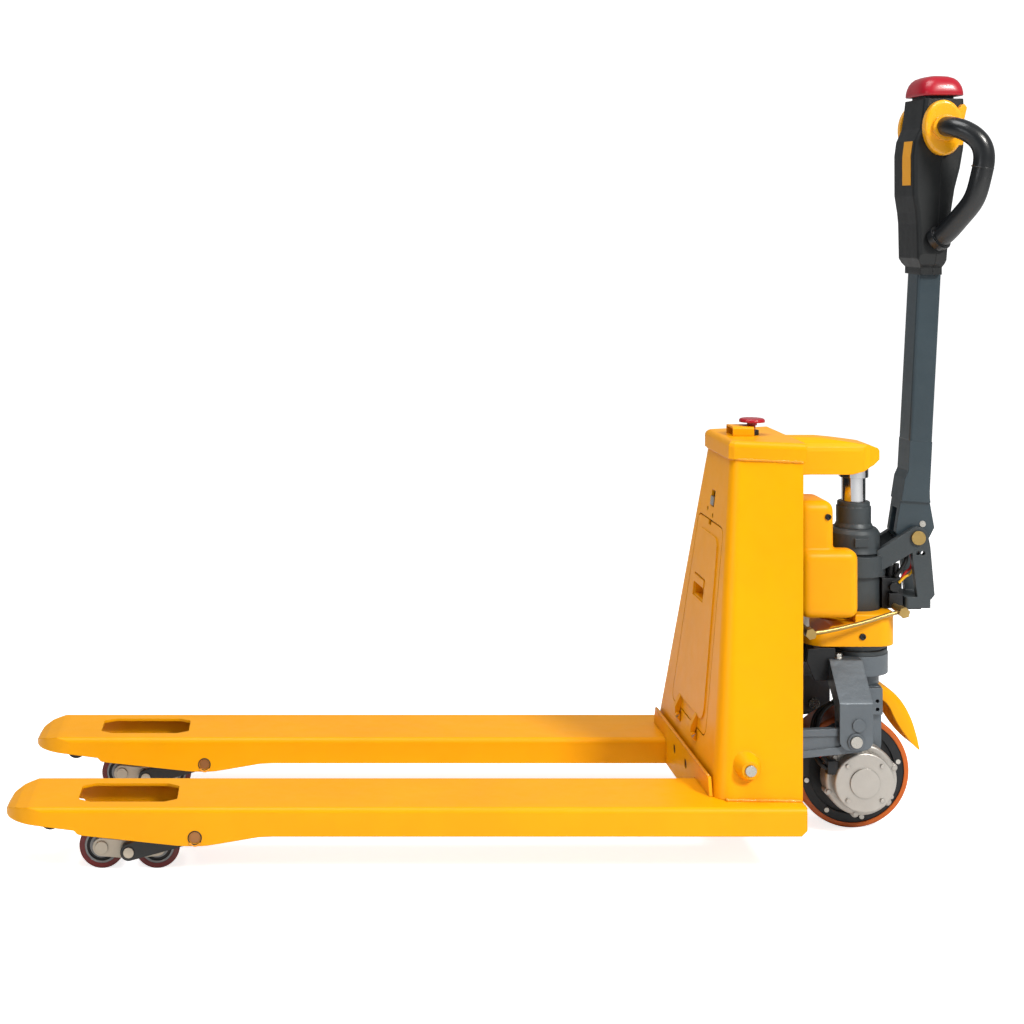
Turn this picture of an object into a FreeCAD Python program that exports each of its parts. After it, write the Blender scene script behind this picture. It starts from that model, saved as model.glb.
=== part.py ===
import FreeCAD, Part
import math
import os

# Electric pallet truck: two forks on rollers, an A-frame battery body, a steered
# drive wheel under a lift pump, and a leaning tiller with its control head.
# Millimetres.  X runs from the fork tips (-, the front) to the tiller (+, the rear),
# Z is up with the floor at z = 0, and y = 0 is the middle plane; "left" is -y.

V = FreeCAD.Vector

# ------------------------------------------------------- driving dimensions
# Places given as pairs are (x, z) in the side view.
SHIFT_X = -378.88            # puts x = 0 of the exported parts at the truck's mid length
WALL = 5.0                   # fork and shell plate

FORK_Y = 190.0               # fork centre line from the middle plane
FORK_W = 160.0
FORK_TOP = 112.0
FORK_TIP = -440.5
FORK_HEEL = 845.0
FORK_CENTRES = (("left", -FORK_Y), ("right", FORK_Y))

ARM_PIVOT = (-131.0, 65.0)   # load arm pivot in the fork side
ARM_PIN_R = 9.0
BOGIE_PIN = (-238.5, 33.0)
BOGIE_PIN_R = 8.5
ROLLER_X = (-283.0, -194.0)  # front and rear load rollers
ROLLER_Z = 37.0
ROLLER_R = 37.0
ROLLER_HUB_R = 28.0
ROLLER_AXLE_R = 10.0
ENTRY = (-368.0, 77.0)       # entry roller under the nose
ENTRY_R = 17.0
ENTRY_AXLE_R = 5.0
LUG_R, LUG_LEAN = 29.0, 16.5      # load arm lug, degrees from straight up

CRANK = (762.0, 163.0)       # crank shaft
CRANK_SHAFT_R = 12.0
CRANK_BORE_R = 9.0           # shaft ends in the shell
CRANK_TUBE_R = 22.0
LEVER_R, LEVER_LEAN = 70.0, 7.0   # crank lever, degrees from straight down
YOKE_PIN = (967.0, 177.0)
YOKE_PIN_R = 9.75

STEER_X = 1005.0             # vertical steering axis, on y = 0
PUMP_R = 43.0
PUMP_HOLE_R = 43.05          # holes that clear the pump barrel
PUMP_BORE_R = 20.4
ROD_HEAD_R, ROD_HEAD_TOP = 25.0, 622.0
WHEEL = (992.0, 98.0)        # drive wheel axis
WHEEL_R = 98.0
BANJO_FRONT = (897.0, 353.0)
BANJO_REAR = (1065.0, 381.5)

TILLER = (1104.5, 500.7)     # tiller pivot
LEAN = 3.02                  # tiller lean from vertical towards +x, degrees
KNOB_AXIS = (1138, 1206)     # throttle shaft
HORN_Z = 1232

# Shell corners at its foot and its top: (x, half width)
SHELL_Z0, SHELL_Z1 = 112.0, 643.0
FOOT_FRONT, FOOT_REAR = (708.0, 233.0), (847.0, 238.0)
TOP_FRONT, TOP_REAR = (770.0, 88.0), (881.0, 126.0)

DOOR_Z0, DOOR_Z1 = 181.0, 526.0
DOOR_FOOT, DOOR_HEAD = 126.0, 90.0     # half widths at bottom and top
HINGE = (710.0, 171.0)
HINGE_Y = (-60, 60)
HINGE_R = 4.8


# ------------------------------------------------------------------ helpers
def box(x0, x1, y0, y1, z0, z1):
    return Part.makeBox(x1 - x0, y1 - y0, z1 - z0, V(x0, y0, z0))


def cyl_x(centre_yz, radius, x0, x1):
    y, z = centre_yz
    return Part.makeCylinder(radius, x1 - x0, V(x0, y, z), V(1, 0, 0))


def cyl_y(centre_xz, radius, y0, y1):
    x, z = centre_xz
    return Part.makeCylinder(radius, y1 - y0, V(x, y0, z), V(0, 1, 0))


def cyl_z(centre_xy, radius, z0, z1):
    x, y = centre_xy
    return Part.makeCylinder(radius, z1 - z0, V(x, y, z0), V(0, 0, 1))


def steer_cyl(radius, z0, z1):
    """Cylinder on the steering axis."""
    return cyl_z((STEER_X, 0), radius, z0, z1)


def wheel_cyl(radius, y0, y1):
    """Cylinder on the drive wheel axis."""
    return cyl_y(WHEEL, radius, y0, y1)


def rod(start, end, radius):
    start, end = V(*start), V(*end)
    return Part.makeCylinder(radius, (end - start).Length, start, end - start)


def face(points):
    return Part.Face(Part.makePolygon(points + points[:1]))


def prism_x(outline_yz, x0, x1):
    return face([V(x0, y, z) for y, z in outline_yz]).extrude(V(x1 - x0, 0, 0))


def prism_y(outline_xz, y0, y1):
    return face([V(x, y0, z) for x, z in outline_xz]).extrude(V(0, y1 - y0, 0))


def prism_z(outline_xy, z0, z1):
    return face([V(x, y, z0) for x, y in outline_xy]).extrude(V(0, 0, z1 - z0))


def turned(profile_rz):
    """Solid of revolution on the steering axis."""
    section = face([V(STEER_X + r, 0, z) for r, z in profile_rz])
    return section.revolve(V(STEER_X, 0, 0), V(0, 0, 1), 360)


def polar(centre, radius, degrees):
    angle = math.radians(degrees)
    return (centre[0] + radius * math.cos(angle), centre[1] + radius * math.sin(angle))


def circle_points(centre, radius, count, start=0):
    return [polar(centre, radius, start + 360 / count * k) for k in range(count)]


def span(side, near, far):
    """Low and high y of a range measured outward from the middle plane."""
    return sorted((side * near, side * far))


def runs_along(edge, axis):
    ends = edge.Vertexes
    if len(ends) != 2:
        return False
    run = ends[1].Point - ends[0].Point
    return run.Length > 0.5 and abs(run.dot(axis)) > 0.999 * run.Length


def vertical(edge):
    return runs_along(edge, V(0, 0, 1))


def along_y(edge):
    return runs_along(edge, V(0, 1, 0))


def is_rim(edge):
    """Edge lying in a plane of constant y."""
    return edge.BoundBox.YLength < 0.1


def fillet(shape, radius, pick):
    """Round the picked edges; smaller radii are tried before they are left sharp."""
    edges = [edge for edge in shape.Edges if pick(edge)]
    if not edges:
        return shape
    for factor in (1.0, 0.7, 0.4):
        # the kernel raises an error when a radius does not fit
        try:
            rounded = shape.makeFillet(radius * factor, edges)
            same_count = len(rounded.Solids) == len(shape.Solids)
            if rounded.isValid() and rounded.Volume > 0 and same_count:
                return rounded
        except Exception:
            pass
    return shape


def rounded_box(x0, x1, y0, y1, z0, z1, radius):
    return fillet(box(x0, x1, y0, y1, z0, z1), radius, vertical)


def roller_blank(centre, radius, y_mid, half_width, rounding):
    return fillet(cyl_y(centre, radius, y_mid - half_width, y_mid + half_width), rounding, is_rim)


def link(centre_a, radius_a, centre_b, radius_b, y0, y1):
    """Plate with round ends: the hull of two circles in the XZ plane."""
    dx, dz = centre_b[0] - centre_a[0], centre_b[1] - centre_a[1]
    heading = math.degrees(math.atan2(dz, dx))
    spread = math.degrees(math.acos((radius_a - radius_b) / math.hypot(dx, dz)))
    plate = prism_y([polar(centre_a, radius_a, heading + spread),
                     polar(centre_b, radius_b, heading + spread),
                     polar(centre_b, radius_b, heading - spread),
                     polar(centre_a, radius_a, heading - spread)], y0, y1)
    ends = [cyl_y(centre_a, radius_a, y0, y1), cyl_y(centre_b, radius_b, y0, y1)]
    return plate.fuse(ends).removeSplitter()


def sweep(points, radius):
    """Round bar along a smooth curve through the points."""
    curve = Part.BSplineCurve()
    curve.interpolate([V(*p) for p in points])
    spine = Part.Wire([curve.toShape()])
    tangent = curve.tangent(curve.FirstParameter)[0]
    section = Part.Wire([Part.makeCircle(radius, V(*points[0]), tangent)])
    bar = spine.makePipeShell([section], True, True)
    if bar.Volume < 0:  # the pipe can come out inside-out
        bar.reverse()
    return bar


def mirror(shape):
    return shape.mirror(V(0, 0, 0), V(0, 1, 0))


def tilt(shape):
    """Lean a shape drawn upright over the tiller pivot by the tiller lean."""
    leaned = shape.copy()
    leaned.rotate(V(TILLER[0], 0, TILLER[1]), V(0, 1, 0), LEAN)
    return leaned


def export(name, *shapes):
    """Write every solid of the shapes, shifted to mid length, as one STEP file."""
    solids = []
    for shape in shapes:
        for solid in shape.Solids:
            placed = solid.copy()
            placed.translate(V(SHIFT_X, 0, 0))
            solids.append(placed)
    piece = solids[0] if len(solids) == 1 else Part.makeCompound(solids)
    piece.exportStep("parts/" + name + ".step")


# -------------------------------------------------------------------- forks
# Lower edge of the fork side (x, z), from heel to tip
FORK_UNDERSIDE = [
    (FORK_HEEL, 76), (FORK_HEEL - 9, 67), (-8, 67), (-30, 66), (-92, 55.5), (-112, 52.4),
    (-122, 51.8), (-148, 51.8), (-160, 52.6), (-312, 68.8), (-318, 70.5), (-324, 76.5),
    (-380, 83.5), (-432, 86), (-438, 87)]
# Opening over the load rollers (x, y)
ROLLER_WINDOW = [
    (-321.6, -33), (-321.6, 33), (-301, 46.5), (-182, 46.5),
    (-161.5, 33), (-161.5, -33), (-182, -46.5), (-301, -46.5)]


def fork_block(inset):
    """Block of one fork about y = 0; a non-zero inset gives the cavity."""
    top = FORK_TOP - inset
    heel = FORK_HEEL - inset
    tip = FORK_TIP + inset
    half = FORK_W / 2 - inset
    profile = [(tip, 60 if inset else 89), (tip, 92 - inset * 0.6), (tip + 6, 100 - inset),
               (tip + 20, 106.5 - inset), (tip + 42, top - 0.6), (tip + 50, top), (heel, top)]
    profile += [(heel, 30), (tip, 30)] if inset else FORK_UNDERSIDE
    block = prism_y(profile, -half, half)

    # plan view with a round nose
    nose = 70.0 - inset
    plan = box(tip + nose, heel + 1, -half, half, 0, 200)
    plan = plan.fuse(box(tip, heel + 1, -(half - nose), half - nose, 0, 200))
    plan = plan.fuse([cyl_z((tip + nose, half - nose), nose, 0, 200),
                      cyl_z((tip + nose, -(half - nose)), nose, 0, 200)]).removeSplitter()
    block = block.common(plan)

    # cross-section with faceted round shoulders
    shoulder = 9.0 - inset * 0.8
    steps = (15, 30, 45, 60, 75)
    section = [(half, 20), (half, top - shoulder)]
    section += [polar((half - shoulder, top - shoulder), shoulder, a) for a in steps]
    section += [(half - shoulder, top), (-half + shoulder, top)]
    section += [polar((-half + shoulder, top - shoulder), shoulder, 90 + a) for a in steps]
    section += [(-half, top - shoulder), (-half, 20)]
    return block.common(prism_x(section, FORK_TIP - 5, heel + 1)).removeSplitter()


def fork(y):
    body = fork_block(0).cut(fork_block(WALL))
    body = body.cut(fillet(prism_z(ROLLER_WINDOW, 95, 125), 6, vertical))
    body = body.cut(rounded_box(722, 806, -10, 10, 95, 125, 8))
    body = body.cut(cyl_y(ARM_PIVOT, ARM_PIN_R, -90, 90))
    # plates inside the channel, sunk 0.5 into its ceiling: entry roller tabs,
    # a cross rib and side stiffeners
    ceiling = FORK_TOP - WALL + 0.5
    plates = [box(-382, -354, y0, y0 + 5, ENTRY[1] - 7, ceiling) for y0 in (-36, 31)]
    plates.append(box(-10, -5, -75.5, 75.5, 102.6, ceiling))
    plates += [box(-160, -100, y0, y0 + 6, 84, ceiling) for y0 in (-75.2, 69.2)]
    body = body.fuse(plates).removeSplitter()
    body = body.cut(cyl_y(ENTRY, ENTRY_AXLE_R, -60, 60))
    # the heel pad under the body stands a hair lower than the load seat
    body = body.cut(box(700.5, FORK_HEEL + 5, -90, 90, FORK_TOP - 0.03, FORK_TOP + 5))
    body.translate(V(0, y, 0))
    return body


# ------------------------------------------- battery shell (A-frame body)
def shell_corners(z):
    """Front x, front half width, rear x and rear half width of the shell at z."""
    t = (z - SHELL_Z0) / (SHELL_Z1 - SHELL_Z0)
    starts, ends = FOOT_FRONT + FOOT_REAR, TOP_FRONT + TOP_REAR
    return [a + (b - a) * t for a, b in zip(starts, ends)]


def front_x(z):
    return shell_corners(z)[0]


def shell_wire(z, inset, overrun):
    """Plan outline at z, moved in by inset and run past the rear end by overrun."""
    t = (z - SHELL_Z0) / (SHELL_Z1 - SHELL_Z0)
    x_front, y_front, x_rear, y_rear = shell_corners(z)
    x_front += inset
    y_front -= inset
    y_rear -= inset
    slope = (y_rear - y_front) / (x_rear - x_front)
    x_end, y_end = x_rear + overrun, y_rear + slope * overrun
    # corner arc tangent to the front line and the sloping side line
    radius = 30.0 - 8.0 * t - inset * 0.6
    centre = (x_front + radius, y_front + slope * radius - radius * math.hypot(1.0, slope))
    end_angle = math.degrees(math.atan2(1.0, -slope))
    x_tan, y_tan = polar(centre, radius, end_angle)
    x_mid, y_mid = polar(centre, radius, (180 + end_angle) / 2)
    p = [V(x, y, z) for x, y in (
        (x_end, -y_end), (x_tan, -y_tan), (x_mid, -y_mid), (x_front, -centre[1]),
        (x_front, centre[1]), (x_mid, y_mid), (x_tan, y_tan), (x_end, y_end))]
    return Part.Wire([
        Part.makeLine(p[0], p[1]), Part.Arc(p[1], p[2], p[3]).toShape(),
        Part.makeLine(p[3], p[4]), Part.Arc(p[4], p[5], p[6]).toShape(),
        Part.makeLine(p[6], p[7]), Part.makeLine(p[7], p[0])])


def shell_loft(z0, z1, inset, overrun):
    wires = [shell_wire(z, inset, overrun) for z in (z0, z1)]
    return Part.makeLoft(wires, True, True)


def shell_cavity(inset):
    return shell_loft(80.0, 675.0, inset, 30.0)


def front_prism(outline_yz, start, end):
    """Prism on the sloping front, from start to end mm inward (+x) of it."""
    sketch = face([V(front_x(z) + start, y, z) for y, z in outline_yz])
    return sketch.extrude(V(end - start, 0, 0))


def front_block(y0, y1, z0, z1, start, end):
    return front_prism([(y0, z0), (y0, z1), (y1, z1), (y1, z0)], start, end)


def door_outline(gap, corner):
    """Door trapezoid (y, z) shrunk by gap, each round corner drawn in four steps."""
    half = []
    for y, z, centre_dz, start in ((DOOR_FOOT - gap, DOOR_Z0 + gap, corner, -90),
                                   (DOOR_HEAD - gap, DOOR_Z1 - gap, -corner, 0)):
        half += [polar((y - corner, z + centre_dz), corner, start + 22.5 * k)
                 for k in range(5)]
    return half + [(-y, z) for y, z in half[::-1]]


def battery_shell():
    shell = shell_loft(SHELL_Z0, SHELL_Z1, 0.0, 0.0).cut(shell_cavity(WALL))
    shell = shell.cut(front_prism(door_outline(0, 18), -3, 12))
    shell = shell.cut(front_block(-10, 14, 549, 577, -3, 12))
    for y, z in ((30, 541), (-8, 534)):
        shell = shell.cut(cyl_x((y, z), 4.2, front_x(z) - 6, front_x(z) + 12))
    crank_bore = cyl_y(CRANK, CRANK_BORE_R, -260, 260)
    shell = shell.cut(crank_bore)
    # conical bosses round the crank shaft ends
    for side in (-1, 1):
        base = V(CRANK[0], side * 215.0, CRANK[1])
        boss = Part.makeCone(24, 14, 27, base, V(0, side, 0))
        boss = boss.cut(crank_bore).cut(shell_cavity(WALL - 1.0))
        shell = shell.fuse(boss)
    return shell.removeSplitter()


def hinge_bracket(y):
    """Two hinge lugs on the shell joined by their pin."""
    x, z = HINGE
    lugs = []
    for y0, y1 in ((y - 14, y - 7.4), (y + 7.4, y + 14)):
        lug = prism_y([(x - 3, z - 3.5), (x - 3, z + 3.5), (front_x(175) - 0.02, 175),
                       (front_x(160) - 0.02, 160)], y0, y1)
        lug = lug.fuse(cyl_y(HINGE, HINGE_R, y0, y1))
        lugs.append(lug.common(box(690, 713.4, y0, y1, 150, 178)))
    pin = cyl_y(HINGE, 2.5, y - 14, y + 14)
    return lugs[0].fuse([lugs[1], pin]).removeSplitter()


def battery_door():
    """Door with raised inner panel, pull opening and hinge ears."""
    door = front_prism(door_outline(2.5, 16), 0, 4)
    door = door.fuse(front_prism(door_outline(22, 20), -2.2, 0.2)).removeSplitter()
    door = door.cut(front_block(-16, 58, 384, 424, -6, 8))
    door = door.cut(front_block(-5, 12, 516, 532, -6, 8))
    x, z = HINGE
    for y in HINGE_Y:
        ear = prism_y([(x - 4.5, z - 1), (x + 3, z + 3.5), (front_x(186) + 0.3, 186),
                       (front_x(205) + 0.5, 205), (front_x(205) - 3.5, 205), (x - 4.5, 184)],
                      y - 7, y + 7)
        ear = ear.fuse(cyl_y(HINGE, HINGE_R, y - 7, y + 7))
        door = door.fuse(ear.cut(cyl_y(HINGE, 2.55, y - 9, y + 9)))
    return door.removeSplitter()


def door_pull():
    """Recessed cup in the door opening with a hood over its upper edge."""
    cup = front_block(-15.5, 57.5, 384.5, 423.5, 0.3, 16)
    cup = cup.cut(front_block(-13, 55, 387, 421, -1, 14))
    return cup.fuse(front_block(-13.5, 55.5, 409, 421.5, -3.5, 3)).removeSplitter()


def door_latch():
    latch = front_block(-8, 12, 551.5, 566, -1.5, 3.0)
    latch = latch.fuse(front_block(-14, 18, 546, 580, 6.5, 9.0))
    return latch.fuse(front_block(-5, 9, 556, 562, 2.5, 7.0)).removeSplitter()


# ----------------------------------------------- parts on and in the shell
CAP_OUTLINE = [(766, -84), (774, -91), (886, -130), (886, 130), (774, 91), (766, 84)]
CAP_CAVITY = [(773, -79), (881, -119), (881, 119), (773, 79)]
CAP_TOP = 674

LIFT_ARM_SIDE = [  # (x, z)
    (886.1, 603.5), (895, 607), (906, 609.5), (918, 610), (990, 610), (1012, 616),
    (1029, 625), (1041, 637), (1041, 648), (1036, 655), (1022, 660), (975, 667),
    (940, 671.5), (886.1, 673)]
LIFT_ARM_CROWN = [  # (y, z)
    (-41, 560), (-41, 650), (-39.5, 657), (-35, 663.5), (-28, 668), (-18, 671.5),
    (0, 673.5), (18, 671.5), (28, 668), (35, 663.5), (39.5, 657), (41, 650), (41, 560)]
CROSSMEMBER_FRONT = [  # (y, z)
    (-109.8, 67), (109.8, 67), (109.8, 112.2), (214, 112.2), (204, 141),
    (-204, 141), (-214, 112.2), (-109.8, 112.2)]


def top_cap():
    cap = fillet(prism_z(CAP_OUTLINE, 643.1, CAP_TOP), 11,
                 lambda e: e.BoundBox.ZMin > CAP_TOP - 0.1 and e.BoundBox.XMin < 885)
    return cap.cut(prism_z(CAP_CAVITY, 640, 668))


def lift_arm():
    """Arm from the cap over the piston rod head."""
    arm = prism_y(LIFT_ARM_SIDE, -41, 41)
    plan = box(860, 1010, -60, 60, 560, 700).fuse(cyl_z((1000, 0), 41, 560, 700))
    plan = plan.common(box(860, 1041, -60, 60, 560, 700))
    plan = plan.fuse(box(1000, 1039, -34, 34, 560, 700))
    arm = arm.common(plan).removeSplitter()
    arm = arm.common(prism_x(LIFT_ARM_CROWN, 880, 1050))
    return arm.cut(steer_cyl(ROD_HEAD_R + 0.05, 595, ROD_HEAD_TOP + 0.05))


def heel_crossmember():
    """Front plate, floor, rear plate and a middle web between the forks."""
    cross = prism_x(CROSSMEMBER_FRONT, 702.0, 707.6)
    for y in (-43, 43):
        cross = cross.cut(cyl_x((y, 113), 8.5, 690, 720))
    return cross.fuse([box(707.6, 845, -109.8, 109.8, 106.5, 111.9),
                       box(838, 845, -109.8, 109.8, 67, 108),
                       box(712, 838, -3, 3, 70, 107)]).removeSplitter()


def rear_cover():
    """Sloping panel between the shell sides, set in from their rear edges."""
    set_in, thickness, side_gap = 27, 2.5, 1.2
    wires = []
    for z in (236, 641):
        x_front, y_front, x_rear, y_rear = shell_corners(z)
        x = x_rear - set_in
        y = y_front + (y_rear - y_front) * (x - x_front) / (x_rear - x_front)
        y -= WALL + side_gap
        far = x + thickness
        wires.append(Part.makePolygon(
            [V(x, -y, z), V(x, y, z), V(far, y, z), V(far, -y, z), V(x, -y, z)]))
    return Part.makeLoft(wires, True, True)


def battery():
    pack = rounded_box(772, 820, -97, 97, 232, 560, 8)
    return pack.fuse(rounded_box(780, 812, -40, 40, 559, 566, 6)).removeSplitter()


def battery_handle():
    x, z_top, radius = 796, 590, 5
    handle = rod((x, -52, 561), (x, -52, z_top), radius)
    handle = handle.fuse([rod((x, 52, 561), (x, 52, z_top), radius),
                          rod((x, -57, z_top), (x, 57, z_top), radius)])
    return handle.cut(box(700, 900, -100, 100, 540, 566)).removeSplitter()


def motor_controller():
    """Block with nine vertical grooves in its front."""
    pitch, width = 20, 8
    block = rounded_box(792, 838, -92, 92, 112.0, 205, 5)
    for k in range(9):
        y0 = -82 + k * pitch
        block = block.cut(box(785, 800, y0, y0 + width, 120, 197))
    return block


def battery_tray():
    top = 231.8
    tray = box(752, 822, -99, 99, 214, 218)
    tray = tray.fuse([box(752, 756, -99, 99, 214, 231.5), box(818, 822, -99, 99, 214, 231.5)])
    tray = tray.fuse([box(752, 822, -99, 99, 228, top)])
    for side in (-1, 1):
        tray = tray.fuse(box(800, 822, *span(side, 98, 103), 112.0, top))
    return tray.removeSplitter()


DISCONNECT = (828, 0)        # (x, y) of the battery disconnect on the cap
DISCONNECT_Z0 = CAP_TOP + 0.05


def disconnect_bracket():
    bridge = box(789, 826, -23, 23, DISCONNECT_Z0, 690)
    bridge = bridge.cut([box(780, 830, -20, 20, 670, 687), cyl_z(DISCONNECT, 12, 660, 700)])
    return fillet(bridge, 4, lambda e: e.BoundBox.ZMin > 689 and e.BoundBox.XLength > 20)


def disconnect_base():
    return cyl_z(DISCONNECT, 11.5, DISCONNECT_Z0, 682).cut(cyl_z(DISCONNECT, 6.05, 670, 700))


def disconnect_button():
    button = fillet(cyl_z(DISCONNECT, 22, 696.2, 702.5), 4, lambda e: e.BoundBox.ZMin > 702)
    return button.fuse([cyl_z(DISCONNECT, 8.5, 690.5, 697),
                        cyl_z(DISCONNECT, 6.0, 680, 692)]).removeSplitter()


# --------------------------------------------------------- bell crank group
ARM_LUG = polar(ARM_PIVOT, LUG_R, 90 - LUG_LEAN)
LEVER_END = polar(CRANK, LEVER_R, LEVER_LEAN - 90)
CRANK_ANGLE = math.atan2(YOKE_PIN[1] - CRANK[1], YOKE_PIN[0] - CRANK[0])


def on_crank_arm(distance, offset=0.0):
    """Point at a distance from the crank shaft towards the yoke pin, offset across."""
    c, s = math.cos(CRANK_ANGLE), math.sin(CRANK_ANGLE)
    return (CRANK[0] + distance * c - offset * s, CRANK[1] + distance * s + offset * c)


def crank_shaft():
    shaft = cyl_y(CRANK, CRANK_SHAFT_R, -210, 210)
    for side in (-1, 1):
        shaft = shaft.fuse(cyl_y(CRANK, CRANK_BORE_R - 0.05, *span(side, 209, 245)))
    return shaft.removeSplitter()


def crank_tube():
    tube = cyl_y(CRANK, CRANK_TUBE_R, -204, 204)
    return tube.cut(cyl_y(CRANK, CRANK_SHAFT_R + 0.06, -210, 210))


def crank_arm(side):
    """Arm to the yoke pin, slotted at its end and pocketed on both faces."""
    slot_start, slot_end, slot_r, pocket_depth = 204.5, 215, 10.7, 3.2
    y0, y1 = span(side, 111.7, 124.3)
    arm = link(CRANK, 27.5, on_crank_arm(210), 20.5, y0, y1)
    slot = prism_y([on_crank_arm(d, h * slot_r) for d, h in (
        (slot_start, -1), (slot_end, -1), (slot_end, 1), (slot_start, 1))], y0 - 1, y1 + 1)
    slot = slot.fuse([cyl_y(on_crank_arm(d), slot_r, y0 - 1, y1 + 1)
                      for d in (slot_start, slot_end)])
    arm = arm.cut([slot, cyl_y(CRANK, CRANK_TUBE_R, y0 - 1, y1 + 1)])
    for ya, yb in ((y0 - 1, y0 + pocket_depth), (y1 - pocket_depth, y1 + 1)):
        arm = arm.cut(link(on_crank_arm(44), 15, on_crank_arm(176), 9.5, ya, yb))
    return arm


def crank_lever(y):
    """Lever down to the push rod, with its cross pin."""
    lever = link(CRANK, 30, LEVER_END, 9.0, y - 6, y + 6)
    lever = lever.cut(cyl_y(CRANK, CRANK_TUBE_R, y - 8, y + 8))
    return lever.fuse(cyl_y(LEVER_END, 5.0, y - 13.5, y + 13.5)).removeSplitter()


def push_rod(y):
    """Round bar with a two-cheek fork at each end, slotted for the pins."""
    front, rear = ARM_LUG[0], LEVER_END[0]
    half, z0, z1 = 13, 80.6, 103.4
    bar = cyl_x((y, 93.6), 8.0, front + 26, rear - 26)
    bar = bar.fuse([box(front + 24.5, front + 33, y - half, y + half, z0, z1),
                    box(rear - 33, rear - 24.5, y - half, y + half, z0, z1)])
    for y0, y1 in ((y - half, y - 7), (y + 7, y + half)):
        bar = bar.fuse([box(front - 11, front + 26, y0, y1, z0, z1),
                        box(rear - 26, rear + 11, y0, y1, z0, z1)])
    bar = bar.removeSplitter()
    # upright pin slots: x, lower and upper centre height, radius
    for x, low, high, r in ((front, 89.6, 93.9, 6.4), (rear, 93.0, 95.3, 6.0)):
        bar = bar.cut([cyl_y((x, low), r, y - 20, y + 20), cyl_y((x, high), r, y - 20, y + 20),
                       box(x - r, x + r, y - 20, y + 20, low, high)])
    return bar


# --------------------------------------------- load arms, bogies and rollers
def load_arm(y):
    arm = cyl_y(ARM_PIVOT, 14, y - 56, y + 56)
    for y0, y1 in ((y - 56, y - 46), (y + 46, y + 56)):
        arm = arm.fuse(link(ARM_PIVOT, 15.6, BOGIE_PIN, 13.5, y0, y1))
    arm = arm.fuse(link(ARM_PIVOT, 14, ARM_LUG, 8.2, y - 6, y + 6))
    arm = arm.fuse(cyl_y(ARM_LUG, 5.0, y - 13.5, y + 13.5)).removeSplitter()
    arm = arm.cut(cyl_y(ARM_PIVOT, ARM_PIN_R + 0.05, y - 60, y + 60))
    return arm.cut(cyl_y(BOGIE_PIN, BOGIE_PIN_R + 0.05, y - 60, y + 60))


def bogie(y):
    """Two side plates, the roller axles and the two bogie pins."""
    front, rear = [(x, ROLLER_Z) for x in ROLLER_X]
    solids = []
    for y0, y1 in ((y - 42.5, y - 37.5), (y + 37.5, y + 42.5)):
        plate = link(front, 14.4, BOGIE_PIN, 14.0, y0, y1)
        plate = plate.fuse(link(rear, 14.4, BOGIE_PIN, 14.0, y0, y1)).removeSplitter()
        for centre, radius in ((front, ROLLER_AXLE_R), (rear, ROLLER_AXLE_R),
                               (BOGIE_PIN, BOGIE_PIN_R)):
            plate = plate.cut(cyl_y(centre, radius, y - 60, y + 60))
        solids.append(plate)
    solids += [cyl_y(centre, ROLLER_AXLE_R, y - 45.2, y + 45.2) for centre in (front, rear)]
    solids += [cyl_y(BOGIE_PIN, BOGIE_PIN_R, y0, y1)
               for y0, y1 in ((y - 58, y - 37.5), (y + 37.5, y + 58))]
    return solids


def load_roller(x, y):
    """Tyre, and a hub with a ring groove in each face."""
    centre = (x, ROLLER_Z)
    tyre = roller_blank(centre, ROLLER_R, y, 35, 3)
    tyre = tyre.cut(cyl_y(centre, ROLLER_HUB_R, y - 36, y + 36))
    hub = cyl_y(centre, ROLLER_HUB_R, y - 34.5, y + 34.5)
    hub = hub.cut(cyl_y(centre, ROLLER_AXLE_R + 0.05, y - 40, y + 40))
    for y0, y1 in ((y - 36, y - 32), (y + 32, y + 36)):
        groove = cyl_y(centre, 24.5, y0, y1).cut(cyl_y(centre, 19.5, y0 - 1, y1 + 1))
        hub = hub.cut(groove)
    return [tyre, hub]


def entry_roller(y):
    roller = roller_blank(ENTRY, ENTRY_R, y, 29, 2.5)
    return roller.cut(cyl_y(ENTRY, ENTRY_AXLE_R + 0.05, y - 40, y + 40))


# ------------------------------------------- yoke and bearing (fixed parts)
YOKE_HALF = [  # (y, z) from the top middle round to the inner middle
    (0, 300), (74, 300), (82, 291), (131, 240), (131, 162), (104, 162),
    (104, 228), (62, 266), (0, 266)]
YOKE_TOP = 300.0
STEM_BORE_R = 30.0


def yoke_bracket():
    outline = [(-y, z) for y, z in YOKE_HALF[::-1]] + YOKE_HALF[1:-1]
    yoke = prism_x(outline, 940, 996).removeSplitter()
    yoke = fillet(yoke, 17, lambda e: along_y(e) and e.BoundBox.ZMax < 162.1)
    yoke = fillet(yoke, 5, lambda e: e.BoundBox.XLength > 50 and e.BoundBox.ZMin > 220)
    yoke = yoke.fuse(steer_cyl(57, 266, YOKE_TOP)).removeSplitter()
    # slots for the crank arms, and two round pads on each outer face
    for side in (-1, 1):
        yoke = yoke.cut(box(930, 1010, *span(side, 110.6, 125.4), 150, 208))
        pad = span(side, 130, 133.5)
        yoke = yoke.fuse([cyl_y((972, 204), 11, *pad), cyl_y(YOKE_PIN, 14, *pad)])
    yoke = yoke.cut([cyl_y(YOKE_PIN, YOKE_PIN_R + 0.05, -150, 150),
                     steer_cyl(STEM_BORE_R, 250, 330)])
    return yoke.removeSplitter()


def yoke_bolt(side):
    centre = (958, side * 64)
    bolt = cyl_z(centre, 8.0, YOKE_TOP, 303)
    return bolt.fuse(prism_z(circle_points(centre, 7.4, 6), 302, 309)).removeSplitter()


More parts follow.
